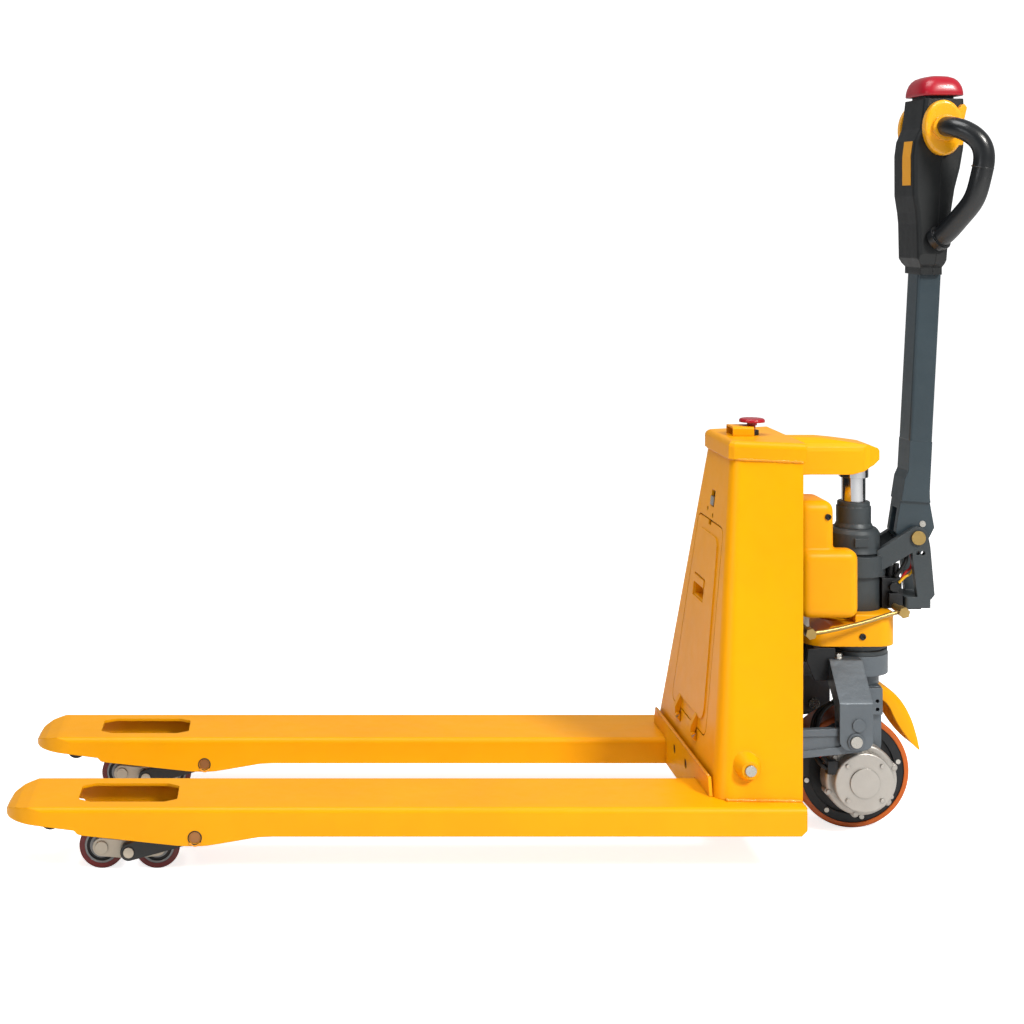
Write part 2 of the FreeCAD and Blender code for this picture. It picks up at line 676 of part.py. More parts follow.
def steering_bearing():
    ring = steer_cyl(56, YOKE_TOP + 0.05, 320).cut(steer_cyl(STEM_BORE_R, 290, 330))
    return ring.cut(steer_cyl(58, 308, 311).cut(steer_cyl(53.5, 307, 312)))


# ----------------------------------------------------- pump and tiller mount
PUMP_PROFILE = [  # (radius, z)
    (0, 262), (29.95, 262), (29.95, 321), (PUMP_R, 321), (PUMP_R, 470), (46, 473),
    (44.5, 478), (43.6, 482), (43.6, 506), (40, 511.5), (37, 513.9), (0, 513.9)]
GLAND_PROFILE = [  # (radius, z)
    (PUMP_BORE_R, 513.95), (33, 513.95), (32, 517), (29.4, 522), (29.4, 550),
    (27.6, 551), (27.6, 557.5), (26, 559), (PUMP_BORE_R, 559)]
TILLER_PLATE = [  # (x, z)
    (1094, 505), (1122, 505), (1126, 486), (1133.5, 402), (1127, 394), (1104, 394), (1096, 460)]
PIPE_PATH = [  # (x, y, z)
    (903, -107.5, 353), (925, -104.5, 355.5), (960, -98, 361),
    (1000, -89, 368.5), (1035, -79.5, 376.5), (1058, -74.5, 381)]
# Trims that bevel the top edges of the lift motor cover
COVER_SIDE = [  # (x, z)
    (880, 370), (990, 370), (990, 470), (983, 476.5), (954.5, 476.5), (954.5, 569),
    (946, 577.5), (893, 577.5), (884.5, 569), (880, 560)]
COVER_END = [  # (y, z)
    (-98.5, 370), (-98.5, 468), (-90, 476.5), (-86.5, 476.5), (-86.5, 568), (-77, 577.5),
    (6, 577.5), (14.5, 569), (14.5, 477), (40, 477), (40, 370)]
BASE_COVER_RELIEF = [  # (x, z)
    (890, 341), (927, 341), (946, 356), (985.5, 362), (986, 390), (890, 390)]


def piston_rod():
    rod_shaft = steer_cyl(20.35, 400, 602)
    return rod_shaft.fuse(steer_cyl(ROD_HEAD_R, 601, ROD_HEAD_TOP)).removeSplitter()


def pump_body():
    bore = steer_cyl(PUMP_BORE_R, 350, 530)
    pump = turned(PUMP_PROFILE).cut(bore)
    port = box(STEER_X - 12, STEER_X + 12, -46.5, -38, 486, 500).cut(bore)
    return pump.fuse(port).removeSplitter()


def tiller_bracket():
    """Clamp ring round the pump with two ears carrying the tiller pivot."""
    bracket = steer_cyl(52, 434, 469)
    for side in (-1, 1):
        y0, y1 = span(side, 24, 36)
        plate = prism_y(TILLER_PLATE, y0, y1)
        plate = plate.cut([cyl_y(c, 3.8, y0 - 1, y1 + 1)
                           for c in ((1104.5, 474.5), (1113.5, 474.0))])
        bracket = bracket.fuse([link((1024, 452), 16, TILLER, 18, y0, y1), plate])
    bracket = bracket.fuse([rounded_box(1083, 1128, -36, 36, 379, 398, 6),
                            box(1083, 1112, -30, 30, 376, 380)]).removeSplitter()
    bracket = bracket.cut([steer_cyl(PUMP_HOLE_R, 400, 530), steer_cyl(46.15, 469.05, 530),
                           cyl_y(TILLER, 9.6, -50, 50)])
    return bracket.removeSplitter()


def tiller_pivot_pin():
    heads = [cyl_y(TILLER, 12, -41, -37), cyl_y(TILLER, 12, 37, 41)]
    return cyl_y(TILLER, 9.55, -41, 41).fuse(heads).removeSplitter()


def valve_block():
    block = box(1047.5, 1081.5, -22, 22, 376, 428)
    block = block.fuse([box(1056, 1079, -34, -20, 380, 404), cyl_z((1071, 0), 11, 426, 446),
                        cyl_y((1066, 414), 8, -32, -20)])
    block = block.fuse(cyl_z((1075, -13), 5, 426, 452)).removeSplitter()
    return block.cut(steer_cyl(PUMP_HOLE_R, 300, 530))


def lift_motor():
    centre = (917, -38)
    motor = cyl_z(centre, 27, 385, 500)
    return motor.fuse([cyl_z(centre, 24, 500, 560), cyl_z(centre, 12, 378, 386)]).removeSplitter()


def manifold(cover):
    """Block behind the front banjo bolt, trimmed to the base cover."""
    block = rounded_box(888, 912, -60.1, -20, 340.9, 372, 4)
    return block.cut(cyl_y(BANJO_FRONT, 6.0, -62, -55)).cut(cover).Solids[0]


def cover_block(k, y_end, z_foot):
    """Stepped block of the lift motor cover, inset by k."""
    low = rounded_box(885 + k, 984 - k, -98 + k, y_end, z_foot, 476 - k, 20 - k)
    low = low.fuse(rounded_box(885 + k, 949 - k, -98 + k, 34 - k, z_foot, 476 - k, 14))
    high = rounded_box(885 + k, 954 - k, -86 + k, 14 - k, 440 + k, 577 - k, 14 - k)
    return low.fuse(high).removeSplitter()


def lift_motor_cover():
    outer = cover_block(0, -53, 374)
    outer = outer.common(prism_y(COVER_SIDE, -110, 50))
    outer = outer.common(prism_x(COVER_END, 870, 1000))
    cover = outer.cut([cover_block(3.0, -30, 354), steer_cyl(52.4, 300, 560)])
    return cover.cut(cyl_y((944, 548), 3.5, -90, -70))


def base_cover():
    cover = rounded_box(905, 1060, -70, 70, 321.0, 376, 34)
    cover = cover.cut([steer_cyl(PUMP_HOLE_R, 300, 400), prism_y(BASE_COVER_RELIEF, -90, 90)])
    cover = cover.cut(steer_cyl(61, 310, 370).cut(steer_cyl(49, 300, 380)))
    cover = fillet(cover, 4, lambda e: e.BoundBox.ZMin > 375.9)
    return cover.cut(cyl_y((998, 338), 3.6, -80, -60))


def banjo_bolt(centre, y0, y1, stem_y0, stem_y1, pipe):
    """Round banjo with hexagons at both ends and a stem inward, cut for the pipe."""
    bolt = cyl_y(centre, 8.5, y0 + 5, y1 - 2)
    bolt = bolt.fuse([prism_y(circle_points(centre, 9.6, 6, 15), y0, y0 + 6),
                      prism_y(circle_points(centre, 8.5, 6, 15), y1 - 4, y1)])
    bolt = bolt.cut(pipe).Solids[0]
    return bolt.fuse(cyl_y(centre, 6, stem_y0, stem_y1)).removeSplitter()


# ------------------------------------------------------- steered drive unit
DRIVE_CHEEK = [  # (x, z)
    (962, 150), (968, 222), (972, 249), (1036, 249), (1036, 150), (1022, 70), (962, 70)]
GUARD_OUTER = [  # (x, z), top to bottom
    (1033, 247), (1047, 243), (1062, 234), (1078, 217), (1091, 196), (1099, 172),
    (1103, 150), (1103, 137)]
GUARD_INNER = [  # (x, z), bottom to top
    (1099, 137), (1099, 150), (1095, 171), (1087.3, 194), (1075, 214), (1060, 230),
    (1045.6, 239), (1033, 243)]
GUARD_FLANGE = [  # (x, z), outer edge of the side flanges
    (1034, 243.2), (1045.6, 240.5), (1060, 231), (1075, 215), (1087.3, 195),
    (1096, 171), (1100, 150), (1100, 137), (1090, 137)]
GEAR_SCREWS = circle_points(WHEEL, 59, 6, 20)
MOTOR_SCREWS = circle_points(WHEEL, 41, 4, 45)
HUB_SCREWS = circle_points(WHEEL, 80.5, 8, 11.5)
GEAR_SCREW_R = 4.2
HUB_SCREW_R = 4.2


def drive_bracket():
    """Flange under the yoke, cheek plate and a side block with two holes."""
    bracket = steer_cyl(42, 236, 261.9)
    bracket = bracket.fuse([box(972, 1036, -52, -16, 222, 249), prism_y(DRIVE_CHEEK, -52, -39)])
    bracket = bracket.fuse(wheel_cyl(48, -52, -39)).removeSplitter()
    block = box(1009, 1035, -62, -50, 203, 248)
    block = block.cut([cyl_y((1026, z), 3.2, -70, -54) for z in (226, 212)])
    return bracket.fuse(block).removeSplitter()


def gear_housing():
    """Round housing with screw lugs and ring grooves above and below mid height."""
    housing = fillet(wheel_cyl(61, -83, -52.05), 5, lambda e: e.BoundBox.YMax < -82)
    for centre in GEAR_SCREWS:
        housing = housing.fuse(cyl_y(centre, 6.5, -80, -62))
    x, z = WHEEL
    ungrooved = box(x - 80, x + 80, -90, -40, z - 20, z + 20)
    for k in range(5):
        groove = wheel_cyl(70, -78 + 5 * k, -76 + 5 * k).cut(wheel_cyl(58.5, -90, -50))
        housing = housing.cut(groove.cut(ungrooved))
    housing = housing.removeSplitter().Solids[0]
    for centre in GEAR_SCREWS:
        housing = housing.cut(cyl_y(centre, GEAR_SCREW_R, -90, -80.05))
    return housing


def housing_screws():
    screws = [cyl_y(centre, GEAR_SCREW_R, -84, -80.05) for centre in GEAR_SCREWS]
    return screws + [cyl_y(centre, 3.6, -104, -101.05) for centre in MOTOR_SCREWS]


def drive_motor():
    motor = fillet(wheel_cyl(50.4, -101, -83.05), 3, lambda e: e.BoundBox.YMax < -100)
    lug = box(WHEEL[0] - 62, WHEEL[0] - 45, -98, -84, 112, 134)
    return motor.fuse([wheel_cyl(25, -103.5, -100.5), lug]).removeSplitter()


def wheel_guard():
    """Curved guard behind the wheel, with a flange on each side."""
    guard = prism_y(GUARD_OUTER + GUARD_INNER, -38, 38)
    flange = GUARD_FLANGE + [polar(WHEEL, 104, a) for a in (22, 32, 42, 52, 60)] + [(1034, 205)]
    guard = guard.fuse([prism_y(flange, -39.5, -36.5), prism_y(flange, 36.5, 39.5)])
    guard = guard.fuse(box(1030.5, 1036, -38, -20, 223, 246)).removeSplitter()
    guard = guard.cut(steer_cyl(42.1, 230, 265))
    return guard.cut(box(1020, 1036.05, -53, -15, 140, 249.5))  # room for the bracket


def drive_wheel_hub():
    hub = wheel_cyl(88.9, -33, 33)
    hub = hub.cut([wheel_cyl(74, -34, -27), wheel_cyl(74, 27, 34)])
    hub = hub.fuse([wheel_cyl(34, -38.6, 33)]).removeSplitter()
    for centre in HUB_SCREWS:
        hub = hub.cut([cyl_y(centre, HUB_SCREW_R, -35, -26), cyl_y(centre, HUB_SCREW_R, 26, 35)])
    return hub


def hub_screws():
    return [cyl_y(centre, HUB_SCREW_R, y0, y1)
            for centre in HUB_SCREWS for y0, y1 in ((-34.6, -26), (26, 34.6))]


def drive_wheel_tyre():
    return roller_blank(WHEEL, WHEEL_R, 0, 35, 4).cut(wheel_cyl(88.95, -40, 40))


# ------------------------------------------------------------------- tiller
# Side view of the foot, (x, z) from the tiller pivot
FOOT_SIDE = [
    (-15, -15), (15, -15), (25, 0), (32.4, 17), (20.4, 68), (19.6, 80), (19.4, 165),
    (-19.4, 165), (-19.6, 112), (-24.6, 99), (-34, 6), (-27, -6)]


def pivot_prism(outline, y0, y1):
    """Prism whose outline is measured from the tiller pivot."""
    return prism_y([(TILLER[0] + x, TILLER[1] + z) for x, z in outline], y0, y1)


def pivot_box(half_x, half_y, z0, z1):
    """Box centred over the tiller pivot, heights measured from it."""
    x, z = TILLER
    return box(x - half_x, x + half_x, -half_y, half_y, z + z0, z + z1)


def tiller_foot():
    """Forked foot with a wider upper part and a hollow core."""
    foot = pivot_prism(FOOT_SIDE, -22.5, 22.5)
    upper = [(x, z) for x, z in FOOT_SIDE if z > 60] + [(-28.6, 60), (22.0, 60)]
    foot = foot.fuse(pivot_prism(upper, -27.3, 27.3)).removeSplitter()
    foot = foot.cut([pivot_box(60, 11, -30, 46), cyl_y(TILLER, 9.65, -60, 60)])
    foot = foot.cut([pivot_prism([(-12, 62), (12, 62), (9, 110), (-9, 110)], -15, 15)])
    foot = foot.cut(pivot_box(14, 15, 100, 200))
    stud = (TILLER[0] + 11.6, TILLER[1] + 22)
    foot = foot.fuse([cyl_y(stud, 5.4, -23.6, -20), cyl_y(stud, 5.4, 20, 23.6)])
    return tilt(foot.removeSplitter())


def tiller_tube():
    """Rectangular tube with a hollow spigot that enters the foot."""
    tube = fillet(pivot_box(20, 27.5, 165.1, 480), 5, vertical)
    tube = tube.cut(pivot_box(16.5, 24, 160, 490))
    hollow = pivot_box(11, 12, 130, 175)
    spigot = pivot_box(13.8, 14.8, 135, 172).cut(hollow)
    collar = pivot_box(16.6, 24.1, 165.1, 170).cut(hollow)
    return tilt(tube.fuse(spigot.fuse(collar)).removeSplitter())


# ------------------------------------------------------------- control head
HEAD_HALF_W = 52.0
HEAD_SIDE = [  # (x, z)
    (1108, 954), (1108, 966), (1099.5, 982), (1098.3, 1041), (1096.5, 1060), (1091.8, 1090),
    (1091.6, 1160), (1095, 1185), (1104.5, 1206), (1107.5, 1225), (1111, 1256.6),
    (1179, 1256.6), (1181, 1222), (1179, 1172), (1173, 1137), (1164, 1102), (1157, 1057),
    (1152, 1002), (1150.5, 983), (1145, 968.5), (1145, 954)]
HEAD_END = [  # (y, z)
    (-38, 950), (38, 950), (38, 966), (46, 972), (HEAD_HALF_W, 990), (HEAD_HALF_W, 1300),
    (-HEAD_HALF_W, 1300), (-HEAD_HALF_W, 990), (-46, 972), (-38, 966)]
HEAD_CAVITY = [  # (x, z)
    (1103, 990), (1098, 1090), (1098, 1160), (1112, 1215), (1115, 1246), (1168, 1246),
    (1172, 1215), (1170, 1172), (1155, 1095), (1146, 990)]
LOOP_PATH = [  # (x, y, z) of the left handle, from the throttle down to the head
    (1136, -52.2, 1207), (1138, -75, 1207), (1146, -103, 1204), (1164, -122, 1192),
    (1177, -130, 1174), (1181, -131, 1155), (1177.5, -127, 1122), (1170, -116, 1084),
    (1155, -92, 1052), (1136, -58, 1019), (1131.5, -50.5, 1014.5)]
BELLY_SIDE = [  # (x, z)
    (1108, 1263), (1109, 1276), (1114, 1288), (1124, 1295), (1146, 1297.2), (1166, 1294),
    (1176, 1287), (1182, 1275), (1183, 1263)]
WING_TOP = [(1160, 1236), (1171, 1248), (1176, 1240), (1172, 1222), (1166, 1214)]
WING_BOTTOM = [(1158, 1176), (1168, 1176), (1172, 1186), (1168, 1198), (1160, 1194)]
ROCKER_SIDE = [(1172, 1180), (1172, 1210), (1183.5, 1209), (1181.5, 1195), (1182.5, 1181)]


def on_head_side(edge):
    """Edge on a side face of the head block, away from its foot."""
    bounds = edge.BoundBox
    return (abs(abs(edge.CenterOfMass.y) - HEAD_HALF_W) < 0.1 and bounds.ZMin > 975
            and bounds.ZMax < 1258 and bounds.ZLength > 8)


def control_head():
    head = fillet(prism_y(HEAD_SIDE, -HEAD_HALF_W, HEAD_HALF_W), 8, on_head_side)
    head = head.common(prism_x(HEAD_END, 1060, 1200)).removeSplitter()
    head = head.fuse(rounded_box(1119, 1167, -40, 40, 1256, 1268, 8)).removeSplitter()
    tube_socket = tilt(pivot_box(20.05, 27.55, 400, 481))
    head = head.cut([tube_socket, prism_y(HEAD_CAVITY, -45, 45)])
    # openings for the belly button stem, throttle shaft, horn and rocker
    stem_hole = tilt(cyl_z((TILLER[0], 0), 9.05, TILLER[1] + 700, TILLER[1] + 800))
    return head.cut([stem_hole, cyl_y(KNOB_AXIS, 10.05, -80, 80),
                     cyl_x((0, HORN_Z), 9.05, 1160, 1200), box(1160, 1200, -16, 16, 1178, 1212)])


def half_space(x_far, gap):
    """Block from x_far to the leaning tiller plane, which is moved by gap."""
    z0, z1 = 900, 1290
    slope = math.tan(math.radians(LEAN))
    x0, x1 = [TILLER[0] + (z - TILLER[1]) * slope + gap for z in (z0, z1)]
    return prism_y([(x_far, z0), (x0, z0), (x1, z1), (x_far, z1)], -90, 90)


def handle_loop():
    """Left D-shaped handle with a collar where its lower end meets the head."""
    head_space = box(1000, 1300, -HEAD_HALF_W - 0.05, 60, 900, 1300)
    loop = sweep(LOOP_PATH, 17.2).cut(head_space)
    collar = rod((1136, -58.5, 1019), (1131, -50, 1014), 21.5).cut(head_space)
    knob_space = cyl_y(KNOB_AXIS, 60, -80.2, -40)
    loop = loop.cut(knob_space.common(box(1000, 1300, -80.2, 0, 1140, 1300)))
    loop = loop.fuse(collar).removeSplitter()
    loop = loop.cut(cyl_y(KNOB_AXIS, 9.7, -90, 0))
    return max(loop.Solids, key=lambda solid: solid.Volume)


def throttle_knobs():
    """Two butterfly knobs on one shaft."""
    shaft_r, stretch = 9.98, 1.44
    # oval knob: a disc stretched in z about its own axis
    scale = FreeCAD.Matrix()
    scale.A33 = stretch
    scale.A34 = KNOB_AXIS[1] * (1 - stretch)
    knob = cyl_y(KNOB_AXIS, 33, -72, -54.2).transformGeometry(scale)
    knob = fillet(knob, 6, lambda e: e.BoundBox.YMax < -71.5)
    wings = [fillet(prism_y(outline, -70, -56), 3, along_y) for outline in (WING_TOP, WING_BOTTOM)]
    knob = knob.fuse(wings).removeSplitter()
    knob = knob.fuse([cyl_y(KNOB_AXIS, 21.5, -79.5, -71),
                      cyl_y(KNOB_AXIS, shaft_r, -54.4, -1)]).removeSplitter()
    return knob.fuse(mirror(knob)).fuse(cyl_y(KNOB_AXIS, shaft_r, -3, 3)).removeSplitter()


def belly_button():
    """Rounded button over the head, hollowed below, with a leaning stem."""
    button = prism_y(BELLY_SIDE, -53, 53)
    button = fillet(button, 9, lambda e: not along_y(e) and e.BoundBox.ZMax > 1263.5)
    button = button.cut(rounded_box(1116.5, 1169.5, -42.5, 42.5, 1262, 1274.5, 8))
    stem = tilt(cyl_z((TILLER[0], 0), 9.0, TILLER[1] + 752, TILLER[1] + 778))
    return button.fuse(stem).removeSplitter()


def horn_button():
    return fillet(cyl_x((0, HORN_Z), 9.0, 1170, 1184.5), 1.5, lambda e: e.BoundBox.XMin > 1184)


# -------------------------------------------------------------------- export
os.makedirs("parts", exist_ok=True)

for name, y in FORK_CENTRES:
    export("fork_" + name, fork(y))
    export("push_rod_" + name, push_rod(y))
    export("load_arm_" + name, load_arm(y))
    export("bogie_" + name, *bogie(y))
    export("load_roller_front_" + name, *load_roller(ROLLER_X[0], y))
    export("load_roller_rear_" + name, *load_roller(ROLLER_X[1], y))
    export("entry_roller_" + name, entry_roller(y))
export("load_arm_pivot_pins",
       *[cyl_y(ARM_PIVOT, ARM_PIN_R, y - 79.0, y + 79.0) for _, y in FORK_CENTRES])
export("entry_roller_axles",
       *[cyl_y(ENTRY, ENTRY_AXLE_R, y - 37, y + 37) for _, y in FORK_CENTRES])

export("battery_shell", battery_shell(), *[hinge_bracket(y) for y in HINGE_Y])
export("battery_door", battery_door(), door_pull())
export("door_latch", door_latch())
export("top_cap", top_cap())
export("lift_arm", lift_arm())
export("heel_crossmember", heel_crossmember())
export("rear_cover", rear_cover())
export("battery_pack", battery(), battery_handle())
export("motor_controller", motor_controller())
export("battery_tray", battery_tray())
export("disconnect_bracket", disconnect_bracket(), disconnect_base())
export("disconnect_button", disconnect_button())

export("crank_shaft", crank_shaft())
export("bell_crank", crank_tube(), *[crank_arm(side) for side in (-1, 1)],
       *[crank_lever(y) for _, y in FORK_CENTRES])
export("yoke_bracket", yoke_bracket())
export("yoke_pins", *[cyl_y(YOKE_PIN, YOKE_PIN_R, *span(side, 101, 136.5)) for side in (-1, 1)])
export("yoke_bolts", *[yoke_bolt(side) for side in (-1, 1)])
export("steering_bearing", steering_bearing())

tiller_mount = tiller_bracket()
motor_base_cover = base_cover()
pipe = sweep(PIPE_PATH, 3.5)
front_banjo = banjo_bolt(BANJO_FRONT, -116, -94, -95, -60, pipe)
rear_banjo = banjo_bolt(BANJO_REAR, -84, -60, -61, -34.1, pipe).cut(tiller_mount.Solids[0])
export("piston_rod", piston_rod())
export("pump_body", pump_body())
export("gland_nut", turned(GLAND_PROFILE))
export("tiller_bracket", tiller_mount)
export("tiller_pivot_pin", tiller_pivot_pin())
export("valve_block", valve_block())
export("lift_motor", lift_motor(), manifold(motor_base_cover))
export("lift_motor_cover", lift_motor_cover())
export("base_cover", motor_base_cover)
export("hydraulic_pipe", pipe)
export("banjo_bolts", front_banjo.Solids[0], rear_banjo.Solids[0])

export("drive_bracket", drive_bracket())
export("gear_housing", gear_housing(), *housing_screws())
export("drive_motor", drive_motor())
export("wheel_guard", wheel_guard())
export("drive_wheel_hub", drive_wheel_hub())
export("hub_screws", *hub_screws())
export("drive_wheel_tyre", drive_wheel_tyre())

export("tiller_tube", tiller_foot(), tiller_tube())
head = control_head()
export("head_shell_front", head.common(half_space(1000, -0.1)))
export("head_shell_rear", head.common(half_space(1300, 0.1)))
loop = handle_loop()
export("handle_loops", loop, mirror(loop))
export("throttle_knobs", throttle_knobs())
export("belly_button", belly_button())
export("horn_button", horn_button())
export("lift_rocker", prism_y(ROCKER_SIDE, -15, 15))
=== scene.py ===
import bpy, bmesh, math
from mathutils import Vector, Matrix, noise


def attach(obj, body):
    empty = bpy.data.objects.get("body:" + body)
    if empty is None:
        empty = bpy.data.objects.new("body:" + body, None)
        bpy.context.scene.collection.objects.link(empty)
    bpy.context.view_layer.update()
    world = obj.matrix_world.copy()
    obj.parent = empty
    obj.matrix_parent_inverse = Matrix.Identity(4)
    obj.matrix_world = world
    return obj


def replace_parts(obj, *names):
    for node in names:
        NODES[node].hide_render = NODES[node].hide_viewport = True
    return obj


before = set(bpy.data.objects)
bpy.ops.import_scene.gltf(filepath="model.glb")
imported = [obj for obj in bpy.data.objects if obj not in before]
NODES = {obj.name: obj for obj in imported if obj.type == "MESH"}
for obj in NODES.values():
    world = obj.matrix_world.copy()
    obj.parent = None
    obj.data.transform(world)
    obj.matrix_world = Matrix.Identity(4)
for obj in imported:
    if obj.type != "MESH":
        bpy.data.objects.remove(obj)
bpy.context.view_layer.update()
SX = -378.88


def P(x, y, z):
    """Station millimetres to row metres."""
    return Vector(((x + SX) / 1000.0, y / 1000.0, z / 1000.0))


# ------------------------------------------------------------------ materials
def srgb(r, g, b):
    f = lambda c: ((c / 255.0) / 12.92) if c <= 10 else (((c / 255.0) + 0.055) / 1.055) ** 2.4
    return (f(r), f(g), f(b), 1.0)


# Each finish can carry a painted shade: ambient occlusion darkens its creases and corners toward a darker colour.
def material(name, col, rough=0.35, metal=0.0, coat=0.0, var=0.08, fine=0.02, fine_scale=700.0, lump=0.0, lump_scale=40.0,
             bevel=0.0016, wear=0.0, wear_col=None, crease_shade=0.35, crease_shade_col=None, rough_var=0.12, aniso=None, spec=0.5, streak=0.0):
    m = bpy.data.materials.new(name)
    m.use_nodes = True
    nt = m.node_tree
    N, L = nt.nodes, nt.links
    N.clear()
    out = N.new("ShaderNodeOutputMaterial")
    bs = N.new("ShaderNodeBsdfPrincipled")
    L.new(bs.outputs[0], out.inputs[0])
    tc = N.new("ShaderNodeTexCoord")

    def noi(scale, detail=4.0, rgh=0.55, vec=None):
        n = N.new("ShaderNodeTexNoise")
        n.inputs["Scale"].default_value = scale
        n.inputs["Detail"].default_value = detail
        n.inputs["Roughness"].default_value = rgh
        L.new(vec or tc.outputs["Object"], n.inputs["Vector"])
        return n.outputs["Fac"]

    def mapr(v, a, b, c, d):
        n = N.new("ShaderNodeMapRange")
        L.new(v, n.inputs[0])
        for i, q in enumerate((a, b, c, d)):
            n.inputs[i + 1].default_value = q
        return n.outputs[0]

    def mathn(op, a, b=None):
        n = N.new("ShaderNodeMath")
        n.operation = op
        for i, q in enumerate((a, b)):
            if q is None:
                continue
            if isinstance(q, (int, float)):
                n.inputs[i].default_value = q
            else:
                L.new(q, n.inputs[i])
        return n.outputs[0]

    def mix(fac, a, b, mode="MIX"):
        n = N.new("ShaderNodeMix")
        n.data_type = "RGBA"
        n.blend_type = mode
        if isinstance(fac, (int, float)):
            n.inputs[0].default_value = fac
        else:
            L.new(fac, n.inputs[0])
        for i, q in ((6, a), (7, b)):
            if isinstance(q, tuple):
                n.inputs[i].default_value = q
            else:
                L.new(q, n.inputs[i])
        return n.outputs[2]

    base = tuple(col)
    dark = tuple(c * (1 - var) for c in base[:3]) + (1.0,)
    lite = tuple(min(1.0, c * (1 + var)) for c in base[:3]) + (1.0,)
    big = noi(4.5, 5.0, 0.6)
    c = mix(mapr(big, 0.35, 0.65, 0.0, 1.0), dark, lite)
    mid = noi(38.0, 6.0, 0.65)
    c = mix(mapr(mid, 0.42, 0.75, 0.0, var * 1.3), c, dark)
    rgh = mapr(mid, 0.3, 0.7, rough - rough_var * 0.5, rough + rough_var * 0.5)
    bv = N.new("ShaderNodeBevel")
    bv.samples = 4
    bv.inputs["Radius"].default_value = bevel
    geo = N.new("ShaderNodeNewGeometry")
    dot = N.new("ShaderNodeVectorMath")
    dot.operation = "DOT_PRODUCT"
    L.new(bv.outputs[0], dot.inputs[0])
    L.new(geo.outputs["Normal"], dot.inputs[1])
    edge = mapr(dot.outputs["Value"], 0.985, 0.90, 0.0, 1.0)
    if wear > 0:
        wn = noi(55.0, 8.0, 0.7)
        k = mathn("MULTIPLY", edge, mapr(wn, 0.56 - 0.12 * wear, 0.66, 0.0, 1.0))
        c = mix(mathn("MULTIPLY", k, min(1.0, wear)), c, wear_col or lite)
        rgh = mathn("ADD", rgh, mathn("MULTIPLY", k, 0.15))
    # Painted shade: ambient occlusion darkens creases, corners and gaps toward a darker colour of the finish, broken
    # into patches by noise.
    if crease_shade > 0:
        ao = N.new("ShaderNodeAmbientOcclusion")
        ao.samples = 4
        ao.inputs["Distance"].default_value = 0.018
        a = mapr(ao.outputs["AO"], 0.35, 0.85, 1.0, 0.0)
        shade_patch = mapr(noi(26.0, 6.0, 0.7), 0.3, 0.7, 0.4, 1.0)
        c = mix(mathn("MULTIPLY", mathn("MULTIPLY", a, shade_patch), crease_shade), c, crease_shade_col or tuple(q * 0.35 for q in base[:3]) + (1.0,))
    if streak > 0:
        mp = N.new("ShaderNodeMapping")
        mp.inputs["Scale"].default_value = (3.0, 400.0, 400.0) if aniso == "x" else ((400.0, 3.0, 400.0) if aniso == "y" else (400.0, 400.0, 3.0))
        L.new(tc.outputs["Object"], mp.inputs[0])
        st = noi(1.0, 3.0, 0.6, mp.outputs[0])
        rgh = mathn("ADD", rgh, mapr(st, 0.3, 0.7, -streak, streak))
        c = mix(mapr(st, 0.3, 0.7, 0.0, streak), c, dark)
    L.new(c, bs.inputs["Base Color"])
    L.new(rgh, bs.inputs["Roughness"])
    bs.inputs["Metallic"].default_value = metal
    bs.inputs["Specular IOR Level"].default_value = spec
    bs.inputs["Coat Weight"].default_value = coat
    bs.inputs["Coat Roughness"].default_value = 0.12
    b1 = N.new("ShaderNodeBump")
    b1.inputs["Strength"].default_value = fine
    b1.inputs["Distance"].default_value = 0.0006
    L.new(noi(fine_scale, 2.0, 0.5), b1.inputs["Height"])
    L.new(bv.outputs[0], b1.inputs["Normal"])
    last = b1
    if lump > 0:
        b2 = N.new("ShaderNodeBump")
        b2.inputs["Strength"].default_value = lump
        b2.inputs["Distance"].default_value = 0.003
        L.new(noi(lump_scale, 3.0, 0.5), b2.inputs["Height"])
        L.new(b1.outputs[0], b2.inputs["Normal"])
        last = b2
    L.new(last.outputs[0], bs.inputs["Normal"])
    if coat > 0:
        L.new(last.outputs[0], bs.inputs["Coat Normal"])
    return m


YEL = srgb(251, 169, 0)
M = {}
# Each finish below also sets the strength and colour of its painted crease shade.
M["yellow"] = material("yellow_powder_coat", YEL, rough=0.36, coat=0.0, spec=0.20, var=0.05, fine=0.10, fine_scale=520.0, lump=0.035, lump_scale=9.0,
                       bevel=0.0022, wear=0.30, wear_col=srgb(255, 200, 60), crease_shade=0.38, crease_shade_col=srgb(120, 66, 0), rough_var=0.10)
M["weld"] = material("painted_weld_bead", srgb(244, 158, 4), rough=0.38, coat=0.3, var=0.10, fine=0.5, fine_scale=300.0, lump=0.6, lump_scale=150.0, bevel=0.0006, crease_shade=0.5, crease_shade_col=srgb(110, 60, 0))
M["hammer"] = material("grey_hammered_paint", srgb(100, 108, 115), rough=0.42, metal=0.30, var=0.14, fine=0.35, fine_scale=330.0, lump=0.22, lump_scale=90.0,
                       bevel=0.0022, wear=0.5, wear_col=srgb(170, 172, 174), crease_shade=0.6, crease_shade_col=srgb(30, 30, 30))
M["casting"] = material("blue_grey_casting", srgb(58, 65, 69), rough=0.46, metal=0.15, var=0.12, fine=0.3, fine_scale=260.0, lump=0.12, lump_scale=60.0,
                        bevel=0.0022, wear=0.5, wear_col=srgb(130, 138, 142), crease_shade=0.55, crease_shade_col=srgb(18, 20, 22))
M["tube"] = material("tiller_satin_paint", srgb(46, 60, 68), rough=0.36, metal=0.05, coat=0.15, var=0.09, fine=0.12, fine_scale=420.0, lump=0.04, lump_scale=12.0,
                     bevel=0.0025, wear=0.4, wear_col=srgb(110, 124, 132), crease_shade=0.4, crease_shade_col=srgb(12, 14, 16))
